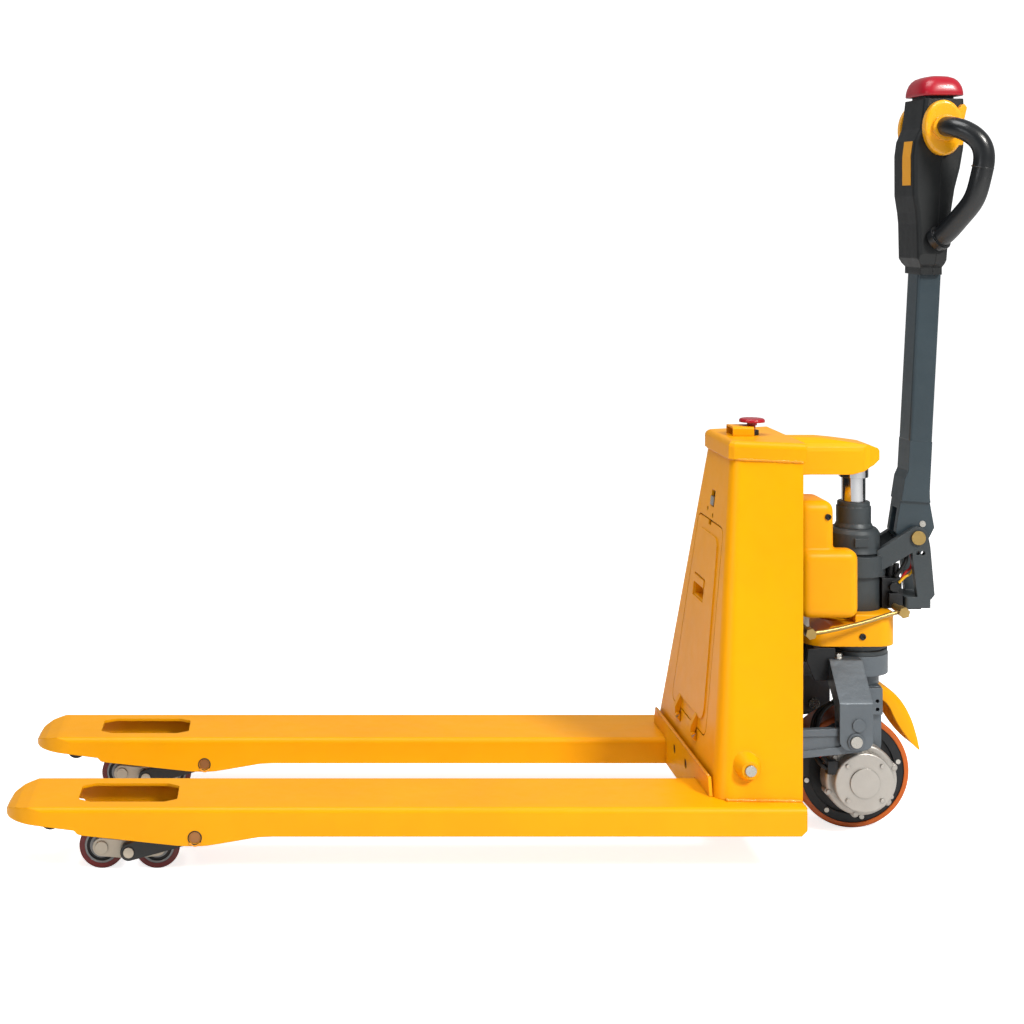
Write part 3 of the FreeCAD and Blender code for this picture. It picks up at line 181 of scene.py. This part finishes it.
M["black"] = material("black_moulded_plastic", srgb(13, 18, 21), rough=0.44, var=0.18, fine=0.35, fine_scale=900.0, lump=0.02, lump_scale=14.0,
                      bevel=0.0022, wear=0.25, wear_col=srgb(60, 64, 68), crease_shade=0.3, crease_shade_col=srgb(8, 8, 8))
M["grip"] = material("black_grip_tube", srgb(11, 15, 19), rough=0.34, coat=0.3, var=0.16, fine=0.15, fine_scale=600.0, lump=0.04, lump_scale=30.0, bevel=0.001, crease_shade=0.3, crease_shade_col=srgb(8, 8, 8))
M["red"] = material("red_moulded_plastic", srgb(172, 4, 34), rough=0.34, coat=0.25, var=0.07, fine=0.10, fine_scale=700.0, bevel=0.003, crease_shade=0.4, crease_shade_col=srgb(70, 0, 12))
M["knob"] = material("yellow_moulded_plastic", srgb(255, 176, 8), rough=0.27, coat=0.45, var=0.06, fine=0.05, bevel=0.003, crease_shade=0.45, crease_shade_col=srgb(150, 84, 0))
M["steel"] = material("bright_zinc_steel", srgb(188, 186, 180), rough=0.30, metal=0.95, var=0.12, fine=0.12, fine_scale=500.0, bevel=0.0008, wear=0.4, wear_col=srgb(225, 224, 220), crease_shade=0.6, crease_shade_col=srgb(60, 52, 44), streak=0.08, aniso="y")
M["gold"] = material("yellow_zinc_steel", srgb(178, 150, 92), rough=0.34, metal=0.85, var=0.20, fine=0.12, fine_scale=420.0, bevel=0.0008, wear=0.4, wear_col=srgb(225, 214, 176), crease_shade=0.6, crease_shade_col=srgb(70, 48, 18))
M["chrome"] = material("hard_chrome", srgb(206, 208, 212), rough=0.12, metal=1.0, var=0.05, fine=0.03, bevel=0.0008, crease_shade=0.3, crease_shade_col=srgb(60, 60, 60), streak=0.05, aniso="z")
M["alu"] = material("cast_aluminium", srgb(186, 182, 176), rough=0.40, metal=0.75, var=0.12, fine=0.4, fine_scale=380.0, lump=0.06, lump_scale=70.0, bevel=0.0018, wear=0.4, wear_col=srgb(214, 212, 208), crease_shade=0.6, crease_shade_col=srgb(60, 56, 52))
M["load_tyre"] = material("dark_red_polyurethane", srgb(104, 8, 10), rough=0.36, coat=0.15, var=0.14, fine=0.2, fine_scale=240.0, lump=0.08, lump_scale=60.0, bevel=0.0018, crease_shade=0.5, crease_shade_col=srgb(34, 6, 4))
M["drive_tyre"] = material("amber_polyurethane", srgb(190, 88, 6), rough=0.42, var=0.18, fine=0.2, fine_scale=240.0, lump=0.08, lump_scale=60.0, bevel=0.0018, crease_shade=0.55, crease_shade_col=srgb(60, 24, 4))
M["black_steel"] = material("satin_black_steel", srgb(30, 32, 35), rough=0.42, metal=0.3, var=0.2, fine=0.3, fine_scale=300.0, lump=0.08, lump_scale=60.0, bevel=0.0014, wear=0.5, wear_col=srgb(90, 92, 96), crease_shade=0.5, crease_shade_col=srgb(10, 10, 10))
M["hubgrey"] = material("roller_hub_grey", srgb(132, 134, 136), rough=0.36, metal=0.75, var=0.16, fine=0.25, fine_scale=420.0, bevel=0.0012, wear=0.5, wear_col=srgb(186, 186, 184), crease_shade=0.7, crease_shade_col=srgb(36, 30, 28))
M["cable"] = material("black_cable_jacket", srgb(20, 21, 23), rough=0.5, var=0.2, fine=0.2, bevel=0.0004, crease_shade=0.2)
M["wire_red"] = material("red_wire", srgb(176, 22, 18), rough=0.42, var=0.12, fine=0.1, bevel=0.0004, crease_shade=0.3)
M["wire_yel"] = material("yellow_wire", srgb(232, 176, 26), rough=0.42, var=0.12, fine=0.1, bevel=0.0004, crease_shade=0.3)
M["label"] = material("plain_amber_label", srgb(232, 160, 22), rough=0.42, var=0.06, fine=0.06, bevel=0.0004, crease_shade=0.2)
M["pin"] = material("copper_plated_pin", srgb(176, 122, 76), rough=0.34, metal=0.85, var=0.2, fine=0.15, bevel=0.0008, crease_shade=0.6, crease_shade_col=srgb(60, 30, 12))
M["arm_dark"] = material("load_arm_black_paint", srgb(42, 44, 45), rough=0.42, metal=0.1, var=0.16, fine=0.3, fine_scale=260.0, lump=0.08, lump_scale=60.0, bevel=0.0016, wear=0.5, wear_col=srgb(92, 94, 96), crease_shade=0.5, crease_shade_col=srgb(14, 14, 14))
M["bogie"] = material("bogie_zinc_plate", srgb(196, 188, 172), rough=0.40, metal=0.55, var=0.12, fine=0.2, fine_scale=420.0, bevel=0.0010, wear=0.4, wear_col=srgb(220, 214, 200), crease_shade=0.7, crease_shade_col=srgb(48, 40, 32))
M["gloss_black"] = material("gloss_black_paint", srgb(12, 13, 15), rough=0.22, coat=0.4, var=0.2, fine=0.08, bevel=0.001, crease_shade=0.2)

NODE_MAT = {}
for n in "fork_left fork_right battery_shell battery_door top_cap lift_arm heel_crossmember disconnect_bracket lift_motor_cover base_cover wheel_guard".split():
    NODE_MAT[n] = "yellow"
for n in "yoke_bracket bell_crank drive_bracket".split():
    NODE_MAT[n] = "hammer"
for n in "pump_body gland_nut tiller_bracket steering_bearing load_arm_left load_arm_right".split():
    NODE_MAT[n] = "casting"
for n in "rear_cover battery_pack motor_controller battery_tray head_shell_front head_shell_rear entry_roller_left entry_roller_right lift_rocker".split():
    NODE_MAT[n] = "black"
for n in "disconnect_button belly_button horn_button".split():
    NODE_MAT[n] = "red"
for n in "door_latch crank_shaft yoke_pins yoke_bolts push_rod_left push_rod_right bogie_left bogie_right entry_roller_axles hub_screws".split():
    NODE_MAT[n] = "steel"
for n in "hydraulic_pipe banjo_bolts tiller_pivot_pin".split():
    NODE_MAT[n] = "gold"
for n in "valve_block lift_motor drive_wheel_hub".split():
    NODE_MAT[n] = "black_steel"
NODE_MAT.update(load_arm_left="arm_dark", load_arm_right="arm_dark", tiller_tube="tube", handle_loops="grip", throttle_knobs="knob", piston_rod="chrome", gear_housing="alu", drive_motor="alu",
                drive_wheel_tyre="drive_tyre", load_arm_pivot_pins="pin")
for n in NODES:
    if n.startswith("load_roller"):
        NODE_MAT[n] = "load_tyre"
for n, o in NODES.items():
    o.data.materials.clear()
    o.data.materials.append(M[NODE_MAT[n]])


def paint(node, mat, test):
    """Gives the faces of one CAD node whose centre passes the test a second finish."""
    me = NODES[node].data
    me.materials.append(M[mat])
    k = len(me.materials) - 1
    for p in me.polygons:
        if test(p.center):
            p.material_index = k


for n in NODES:
    if n.startswith("load_roller"):
        x = -283.0 if "front" in n else -194.0
        c = P(x, 0, 37)
        paint(n, "hubgrey", lambda q, c=c: math.hypot(q.x - c.x, q.z - c.z) < 0.0281)
        paint(n, "black_steel", lambda q, c=c: 0.0190 < math.hypot(q.x - c.x, q.z - c.z) < 0.0250)
paint("disconnect_bracket", "black", lambda q: math.hypot(q.x - P(828, 0, 0).x, q.y) < 0.0118 and q.z < 0.683)
paint("battery_pack", "black_steel", lambda q: q.z > 0.567)
paint("battery_shell", "steel", lambda q: math.hypot(q.x - P(710, 0, 0).x, q.z - 0.171) < 0.00255)
paint("lift_motor", "alu", lambda q: q.z < 0.373)
paint("drive_motor", "black_steel", lambda q: q.x < P(992 - 50.6, 0, 0).x)
_pin = P(1117.2, 0, 522.06)
paint("tiller_tube", "steel", lambda q: math.hypot(q.x - _pin.x, q.z - _pin.z) < 0.0062 and abs(q.y) > 0.0226)
for s in ("left", "right"):
    paint("bogie_" + s, "bogie", lambda q: True)

# ----------------------------------------------------------------- extra detail
COL = bpy.context.scene.collection


def finish_mesh(name, bm, mat, body, smooth=True):
    me = bpy.data.meshes.new(name)
    bm.to_mesh(me)
    bm.free()
    o = bpy.data.objects.new(name, me)
    COL.objects.link(o)
    me.materials.append(M[mat])
    if smooth:
        me.shade_smooth()
    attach(o, body)
    return o


def tube(name, pts, r, mat, body, closed=False, res=10, wob=0.0, seed=0.0, step=None):
    """A swept round bar through points in metres; wob roughens the radius for weld beads."""
    cu = bpy.data.curves.new(name + "_c", "CURVE")
    cu.dimensions = "3D"
    sp = cu.splines.new("BEZIER")
    sp.bezier_points.add(len(pts) - 1)
    for b, p in zip(sp.bezier_points, pts):
        b.co = p
        b.handle_left_type = b.handle_right_type = "AUTO"
    sp.use_cyclic_u = closed
    cu.resolution_u = 12
    tmp = bpy.data.objects.new(name + "_t", cu)
    COL.objects.link(tmp)
    dg = bpy.context.evaluated_depsgraph_get()
    dg.update()
    ev = tmp.evaluated_get(dg).to_mesh()
    path = [Vector(v.co) for v in ev.vertices]
    bpy.data.objects.remove(tmp)
    if step:
        out = [path[0]]
        for a, b in zip(path, path[1:]):
            n = max(1, int((b - a).length / step))
            out += [a.lerp(b, (i + 1) / n) for i in range(n)]
        path = out
    bm = bmesh.new()
    rings = []
    up = Vector((0, 0, 1))
    n = len(path)
    for i, p in enumerate(path):
        q = path[(i + 1) % n] if (closed or i < n - 1) else p
        w = path[i - 1] if (closed or i > 0) else p
        t = (q - w).normalized()
        a = t.cross(up)
        if a.length < 0.05:
            a = t.cross(Vector((1, 0, 0)))
        a.normalize()
        b = t.cross(a).normalized()
        rr = r
        if wob:
            rr = r * (1 + wob * noise.noise(p * 160.0 + Vector((seed, 0, 0))) + 0.22 * wob * math.sin(i * 1.9))
        rings.append([bm.verts.new(p + (a * math.cos(2 * math.pi * k / res) + b * math.sin(2 * math.pi * k / res)) * rr) for k in range(res)])
    m = len(rings)
    for i in range(m if closed else m - 1):
        A, B = rings[i], rings[(i + 1) % m]
        for k in range(res):
            bm.faces.new((A[k], A[(k + 1) % res], B[(k + 1) % res], B[k]))
    if not closed:
        bm.faces.new(rings[0][::-1])
        bm.faces.new(rings[-1])
    return finish_mesh(name, bm, mat, body)


def lathe(name, centre, axis, prof, mat, body, seg=48):
    """Revolves (radius, height) pairs, in metres, round an axis."""
    axis = Vector(axis).normalized()
    rot = Vector((0, 0, 1)).rotation_difference(axis).to_matrix()
    bm = bmesh.new()
    rings = []
    for r, h in prof:
        rings.append([bm.verts.new(Vector(centre) + rot @ Vector((r * math.cos(2 * math.pi * k / seg), r * math.sin(2 * math.pi * k / seg), h))) for k in range(seg)])
    for A, B in zip(rings, rings[1:]):
        for k in range(seg):
            bm.faces.new((A[k], A[(k + 1) % seg], B[(k + 1) % seg], B[k]))
    bm.faces.new(rings[0][::-1])
    bm.faces.new(rings[-1])
    o = finish_mesh(name, bm, mat, body)
    md = o.modifiers.new("bevel", "BEVEL")
    md.width = 0.0006
    md.segments = 2
    md.limit_method = "ANGLE"
    return o


def screw(name, centre, axis, r, h, mat, body):
    """Socket head screw: domed head with a hexagon recess."""
    axis = Vector(axis).normalized()
    rot = Vector((0, 0, 1)).rotation_difference(axis).to_matrix()
    bm = bmesh.new()

    def ring(rad, z, n=36, hexa=False):
        out = []
        for k in range(n):
            a = 2 * math.pi * k / n
            q = rad
            if hexa:
                s = (a % (math.pi / 3)) - math.pi / 6
                q = rad * math.cos(math.pi / 6) / math.cos(s)
            out.append(bm.verts.new(Vector(centre) + rot @ Vector((q * math.cos(a), q * math.sin(a), z))))
        return out
    R = [ring(r, 0), ring(r, h * 0.8), ring(r * 0.93, h), ring(r * 0.60, h, hexa=True), ring(r * 0.56, h * 0.25, hexa=True)]
    for A, B in zip(R, R[1:]):
        for k in range(36):
            bm.faces.new((A[k], A[(k + 1) % 36], B[(k + 1) % 36], B[k]))
    bm.faces.new(R[0][::-1])
    bm.faces.new(R[-1])
    return finish_mesh(name, bm, mat, body, smooth=False)


# -- weld beads along the shell, cap and forks
F0, R0, TF, TR = (708.0, 233.0), (847.0, 238.0), (770.0, 88.0), (881.0, 126.0)


def sec(z):
    t = (z - 112.0) / 531.0
    return [a + (b - a) * t for a, b in zip(F0 + R0, TF + TR)]


def seam(z, out=0.0):
    """Points round the shell section at one height, front corners rounded."""
    xf, yf, xr, yr = sec(z)
    rad = 30.0 - 8.0 * (z - 112) / 531.0
    sl = (yr - yf) / (xr - xf)
    n = math.hypot(1.0, sl)
    cx, cy = xf + rad, yf + sl * rad - rad * n
    a_end = math.atan2(1.0, -sl)
    pts = [(xr, yr + out)]
    pts.append((xr - 30, yr - sl * 30 + out))
    tx, ty = cx + (rad + out) * math.cos(a_end), cy + (rad + out) * math.sin(a_end)
    pts.append(((tx + xr - 30) / 2, (ty + yr - sl * 30) / 2 + out / 2))
    pts.append((tx, ty))
    for k in range(1, 4):
        a = a_end + (math.pi - a_end) * k / 4.0
        pts.append((cx + (rad + out) * math.cos(a), cy + (rad + out) * math.sin(a)))
    pts.append((xf - out, cy))
    pts.append((xf - out, cy * 0.5))
    full = [P(x, -y, z) for x, y in pts] + [P(xf - out, 0, z)] + [P(x, y, z) for x, y in pts[::-1]]
    return full


tube("weld_cap_seam", seam(643.3, 0.6), 0.0024, "weld", "chassis", wob=0.35, step=0.0025)
xf, yf, xr, yr = sec(112)
for sd, nm in ((-1, "left"), (1, "right")):
    tube("weld_shell_foot_" + nm, [P(724, sd * 233.5, 113), P(770, sd * 235.5, 113), P(810, sd * 237, 113), P(845, sd * 238.5, 113)], 0.0030, "weld", "chassis", wob=0.35, step=0.003, seed=sd * 3.0)
tube("weld_cross_plate_top", [P(703.5, y, 141.5) for y in (-200, -120, -40, 40, 120, 200)], 0.0026, "weld", "chassis", wob=0.35, step=0.003, seed=8.0)
for sd, nm in ((-1, "left"), (1, "right")):
    tube("weld_arm_side_" + nm, [P(886.5, sd * 41.5, 612), P(886.5, sd * 41.5, 640), P(886.5, sd * 40.5, 668)], 0.0026, "weld", "chassis", wob=0.35, step=0.0025, seed=sd * 5.0)
    tube("weld_fork_rear_" + nm, [P(845.5, sd * 112, 108), P(845.5, sd * 150, 109), P(845.5, sd * 200, 109), P(845.5, sd * 262, 109)], 0.0024, "weld", "chassis", wob=0.35, step=0.003, seed=sd * 7.0)

# -- cables and wires of the steered unit
tube("motor_cable", [P(944, -91, 124), P(928, -90, 134), P(921, -74, 158), P(926, -54, 186), P(940, -46, 208), P(958, -44, 220), P(974, -44, 226)], 0.0045, "cable", "drive_unit")
tube("motor_cable_two", [P(944, -90, 116), P(922, -88, 126), P(914, -70, 150), P(919, -48, 180), P(934, -38, 204), P(956, -35, 216), P(974, -34, 228)], 0.0038, "cable", "drive_unit", seed=2.0)
tube("motor_cable_sleeve", [P(925.3, -88, 139), P(921, -74, 158), P(923.5, -61, 176)], 0.0058, "wire_red", "drive_unit")
tube("tiller_wire_red", [P(1079, -20, 424), P(1088, -22, 438), P(1097, -20, 446), P(1100, -18, 460), P(1094, -14, 480), P(1096, -8, 500)], 0.0022, "wire_red", "drive_unit")
tube("tiller_wire_yellow", [P(1076, -23, 420), P(1086, -23.3, 430), P(1096, -22, 436), P(1103, -20, 450), P(1101, -19, 462)], 0.0022, "wire_yel", "drive_unit")
tube("tiller_wire_black", [P(1070, -21, 430), P(1082, -22, 446), P(1090, -20, 462), P(1092, -12, 484), P(1096, 0, 502)], 0.0035, "cable", "drive_unit")

# -- screws
screw("cover_screw_upper", P(934, -87.0, 545), (0, -1, 0), 0.0052, 0.0026, "black_steel", "drive_unit")
screw("base_cover_screw", P(998, -70.0, 338), (0, -1, 0), 0.0055, 0.0026, "black_steel", "drive_unit")

# -- handle seam rings, head label
for sd, nm in ((-1, "left"), (1, "right")):
    pts = []
    c = P(1179.3, sd * 129.3, 1137)
    t = (P(1177.5, sd * 127, 1122) - P(1181, sd * 131, 1155)).normalized()
    a = t.cross(Vector((0, 1, 0))).normalized()
    b = t.cross(a).normalized()
    pts = [c + (a * math.cos(2 * math.pi * k / 24) + b * math.sin(2 * math.pi * k / 24)) * 0.0173 for k in range(24)]
    tube("grip_joint_" + nm, pts, 0.0011, "grip", "tiller", closed=True)
bm = bmesh.new()
lab = [P(1091.2, -38, 1108), P(1091.0, 2, 1108), P(1091.0, 2, 1158), P(1091.2, -38, 1158)]
top = [P(1094.6, -38, 1184), P(1094.4, 2, 1184)]
vs = [bm.verts.new(v) for v in lab + top]
bm.faces.new((vs[0], vs[1], vs[2], vs[3]))
bm.faces.new((vs[3], vs[2], vs[5], vs[4]))
lb = finish_mesh("head_label", bm, "label", "tiller", smooth=False)
sd_ = lb.modifiers.new("thick", "SOLIDIFY")
sd_.thickness = 0.0006
sd_.offset = 0.0


# -- dark plugs in the small holes of the shell and heel plate
for i, (x, y, z, r) in enumerate(((711.5, 30, 541, 4.1), (711.5, -8, 534, 4.1), (703.2, -43, 113, 8.4), (703.2, 43, 113, 8.4))):
    if z > 200:
        x = 708.0 + 62.0 * (z - 112.0) / 531.0 + 1.0
    lathe("hole_plug_%d" % i, P(x, y, z), (1, 0, 0), [(r * 0.001, 0.0008), (r * 0.00088, 0.0), (r * 0.001, 0.0002), (r * 0.001, 0.002)], "black", "chassis", 32)

# -- rings round the load arm pivot pins and their tack welds
for sd, nm in ((-1, "left"), (1, "right")):
    for f, fm_ in ((-1, "outer"), (1, "inner")):
        y = sd * 190 + f * 80.4
        pts = [P(-131 + 10.4 * math.cos(2 * math.pi * k / 20), y, 65 + 10.4 * math.sin(2 * math.pi * k / 20)) for k in range(20)]
        tube("pin_ring_%s_%s" % (nm, fm_), pts, 0.0009, "black_steel", "chassis", closed=True)
        tube("pin_tack_%s_%s" % (nm, fm_), [P(-140, y, 57), P(-131, y, 52.6), P(-122, y, 57)], 0.0016, "weld", "chassis", wob=0.5, step=0.002, seed=y)

# -- dished mudguard over the back of the drive wheel
def guard():
    outer = [(1034, 247), (1047, 243.5), (1062, 234.5), (1076, 220), (1087, 203), (1096, 184), (1102, 164), (1106.5, 148), (1108, 135)]
    inner = [(1034, 226), (1046, 220), (1054, 211), (1059.5, 198), (1066, 184), (1075, 170), (1085, 156), (1096, 143.5), (1107, 134)]
    bm = bmesh.new()
    rings = []
    n = 8
    for i, (o, q) in enumerate(zip(outer, inner)):
        t = i / (len(outer) - 1.0)
        w = 38.0 - 5.0 * t * t
        row = []
        for k in range(2 * n + 1):
            u = k / float(n) - 1.0
            a = abs(u)
            if a > 0.62:
                v = (a - 0.62) / 0.38
                y = w * (0.86 + 0.14 * math.sin(min(1.0, v * 1.8) * math.pi / 2))
                g = max(0.0, v - 0.16) / 0.84
            else:
                y = w * 0.86 * a / 0.62
                g = 0.0
            x = o[0] + (q[0] - o[0]) * g
            z = o[1] + (q[1] - o[1]) * g
            if g == 0.0:
                z -= 0.8 * a * a
            row.append(bm.verts.new(P(x, math.copysign(y, u), z)))
        rings.append(row)
    for A, B in zip(rings, rings[1:]):
        for k in range(len(A) - 1):
            bm.faces.new((A[k], A[k + 1], B[k + 1], B[k]))
    o = finish_mesh("mudguard_shell", bm, "yellow", "drive_unit")
    ss = o.modifiers.new("smooth", "SUBSURF")
    ss.levels = ss.render_levels = 2
    so = o.modifiers.new("sheet", "SOLIDIFY")
    so.thickness = 0.0026
    so.offset = 0.0
    return o


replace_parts(guard(), "wheel_guard")


# -- moulded cover of the lift motor: three blown blocks that flow into each other
def blocks(name, parts, mat, body, bev, voxel, smooth):
    bm = bmesh.new()
    for x0, x1, y0, y1, z0, z1 in parts:
        vs = [bm.verts.new(P(x, y, z)) for x in (x0, x1) for y in (y0, y1) for z in (z0, z1)]
        for f in ((0, 1, 3, 2), (4, 6, 7, 5), (0, 4, 5, 1), (2, 3, 7, 6), (0, 2, 6, 4), (1, 5, 7, 3)):
            bm.faces.new([vs[i] for i in f])
    bmesh.ops.recalc_face_normals(bm, faces=bm.faces)
    o = finish_mesh(name, bm, mat, body)
    b = o.modifiers.new("round", "BEVEL")
    b.width = bev
    b.segments = 6
    r = o.modifiers.new("blend", "REMESH")
    r.mode = "VOXEL"
    r.voxel_size = voxel
    r.use_smooth_shade = True
    q = o.modifiers.new("flow", "SMOOTH")
    q.factor = 0.5
    q.iterations = smooth
    return o


cover = blocks("lift_motor_cover_skin", [(885, 946.5, -87, 15, 420, 571), (885, 984.5, -99, -53, 373.5, 490), (885, 950, -99, 35, 373.5, 482)],
               "yellow", "drive_unit", 0.016, 0.0022, 14)
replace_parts(cover, "lift_motor_cover")


def dome():
    prof = [(29.0, 43.0, 1274.6, 5.0), (29.0, 43.0, 1262.6, 5.0), (30.5, 44.5, 1262.3, 5.0), (37.4, 52.4, 1262.3, 4.6), (38.4, 53.4, 1263.6, 4.6), (38.2, 53.2, 1270, 4.4),
            (37.2, 52.0, 1277, 4.0), (35.0, 49.6, 1283.5, 3.7), (31.6, 46.0, 1289, 3.5), (26.5, 40.5, 1293.3, 3.3), (19.0, 32.0, 1296.2, 3.1), (9.5, 18.0, 1297.9, 3.0)]
    bm = bmesh.new()
    n = 72
    rings = []
    for a, b, z, e in prof:
        row = []
        for k in range(n):
            t = 2 * math.pi * k / n
            c, q = math.cos(t), math.sin(t)
            x = a * math.copysign(abs(c) ** (2.0 / e), c)
            y = b * math.copysign(abs(q) ** (2.0 / e), q)
            lean = 0.0 if z < 1275 else -0.0005 * x * (z - 1275)
            row.append(bm.verts.new(P(1145.5 + x, y, z + lean * 0.4)))
        rings.append(row)
    for A, B in zip(rings, rings[1:]):
        for k in range(n):
            bm.faces.new((A[k], A[(k + 1) % n], B[(k + 1) % n], B[k]))
    bm.faces.new(rings[0][::-1])
    t = bm.verts.new(P(1145.5, 0, 1298.3))
    for k in range(n):
        bm.faces.new((rings[-1][k], rings[-1][(k + 1) % n], t))
    bmesh.ops.recalc_face_normals(bm, faces=bm.faces)
    return finish_mesh("belly_cap_skin", bm, "red", "belly")


cap = dome()
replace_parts(cap, "belly_button")

# -- rear web plates of the fixed yoke
for sd, nm in ((-1, "left"), (1, "right")):
    bm = bmesh.new()
    pl = [(953, 262), (953, 318), (938, 319), (906, 316), (903, 296), (917, 262)]
    y0 = sd * 64
    A = [bm.verts.new(P(x, y0 - 3, z)) for x, z in pl]
    B = [bm.verts.new(P(x, y0 + 3, z)) for x, z in pl]
    bm.faces.new(A[::-1])
    bm.faces.new(B)
    for k in range(len(pl)):
        bm.faces.new((A[k], A[(k + 1) % len(pl)], B[(k + 1) % len(pl)], B[k]))
    bmesh.ops.recalc_face_normals(bm, faces=bm.faces)
    o = finish_mesh("yoke_rear_web_" + nm, bm, "black_steel", "steering_base", smooth=False)
    md = o.modifiers.new("edge", "BEVEL")
    md.width = 0.0015
    md.segments = 2

# ------------------------------------------------------------- stage and light
def plane(name, size, z, mat):
    bm = bmesh.new()
    s = size / 2
    bm.faces.new([bm.verts.new(v) for v in ((-s, -s, z), (s, -s, z), (s, s, z), (-s, s, z))])
    me = bpy.data.meshes.new(name)
    bm.to_mesh(me)
    bm.free()
    o = bpy.data.objects.new(name, me)
    COL.objects.link(o)
    me.materials.append(mat)
    return o


fm = bpy.data.materials.new("pale_floor")
fm.use_nodes = True
nt = fm.node_tree
bsdf = nt.nodes["Principled BSDF"]
nz = nt.nodes.new("ShaderNodeTexNoise")
nz.inputs["Scale"].default_value = 2.0
cr = nt.nodes.new("ShaderNodeMapRange")
cr.inputs[3].default_value = 0.86
cr.inputs[4].default_value = 0.90
nt.links.new(nz.outputs["Fac"], cr.inputs[0])
cb = nt.nodes.new("ShaderNodeCombineColor")
for i in range(3):
    nt.links.new(cr.outputs[0], cb.inputs[i])
nt.links.new(cb.outputs[0], bsdf.inputs["Base Color"])
bsdf.inputs["Roughness"].default_value = 0.9
lp = nt.nodes.new("ShaderNodeLightPath")
em = nt.nodes.new("ShaderNodeMath")
em.operation = "MULTIPLY"
em.inputs[1].default_value = 0.80
nt.links.new(lp.outputs["Is Camera Ray"], em.inputs[0])
bsdf.inputs["Emission Color"].default_value = (1.0, 1.0, 1.0, 1.0)
nt.links.new(em.outputs[0], bsdf.inputs["Emission Strength"])
plane("floor", 60.0, -0.0003, fm)

w = bpy.data.worlds.new("studio")
bpy.context.scene.world = w
w.use_nodes = True
nt = w.node_tree
bg = nt.nodes["Background"]
bg.inputs[0].default_value = (1.0, 1.0, 1.0, 1.0)
lw = nt.nodes.new("ShaderNodeLightPath")
mw = nt.nodes.new("ShaderNodeMapRange")
mw.inputs[3].default_value = 0.46
mw.inputs[4].default_value = 1.2
nt.links.new(lw.outputs["Is Camera Ray"], mw.inputs[0])
tcw = nt.nodes.new("ShaderNodeTexCoord")
sx = nt.nodes.new("ShaderNodeSeparateXYZ")
nt.links.new(tcw.outputs["Generated"], sx.inputs[0])
side = nt.nodes.new("ShaderNodeMapRange")
for i, q in enumerate((-0.9, 0.5, 0.13, 0.40)):
    side.inputs[i + 1].default_value = q
nt.links.new(sx.outputs["X"], side.inputs[0])
nt.links.new(side.outputs[0], mw.inputs[3])
nt.links.new(mw.outputs[0], bg.inputs[1])


def area(name, loc, target, size, power, col=(1, 1, 1)):
    d = bpy.data.lights.new(name, "AREA")
    d.shape = "RECTANGLE"
    d.size, d.size_y = size
    d.energy = power
    d.color = col
    o = bpy.data.objects.new(name, d)
    COL.objects.link(o)
    o.location = loc
    o.rotation_mode = "QUATERNION"
    o.rotation_quaternion = (Vector(target) - Vector(loc)).to_track_quat("-Z", "Y")
    return o


area("key", (2.6, -3.4, 3.6), (0.2, 0, 0.3), (1.0, 1.0), 215.0, (1.0, 0.97, 0.92))
area("top_soft", (-0.6, -0.4, 4.2), (0, 0, 0), (2.4, 2.0), 85.0)
area("fill_left", (-3.6, -2.6, 1.8), (0, 0, 0.3), (2.0, 1.6), 26.0, (0.95, 0.97, 1.0))

# ------------------------------------------------------------------- camera
cam = bpy.data.cameras.new("camera")
co = bpy.data.objects.new("camera", cam)
COL.objects.link(co)
bpy.context.scene.camera = co
cam.sensor_width = 36.0
cam.lens = 63.0
cam.clip_end = 200.0
CX, CY, CZ = -0.37888, -3.124, 1.062
co.location = (CX, CY, CZ)
co.rotation_mode = "XYZ"
co.rotation_euler = (math.radians(90), 0, 0)
for attr, val in (("shift_x", 0.2295), ("shift_y", -0.2930)):
    fc = cam.driver_add(attr)
    fc.driver.type = "SCRIPTED"
    v = fc.driver.variables.new()
    v.name = "y"
    v.type = "TRANSFORMS"
    v.targets[0].id = co
    v.targets[0].transform_type = "LOC_Y"
    v.targets[0].transform_space = "WORLD_SPACE"
    fc.driver.expression = "%r if abs(y + 3.124) < 0.0005 else 0" % val
sc = bpy.context.scene
sc.view_settings.view_transform = "Standard"
sc.view_settings.look = "None"
sc.view_settings.exposure = 0.0
bpy.context.view_layer.update()
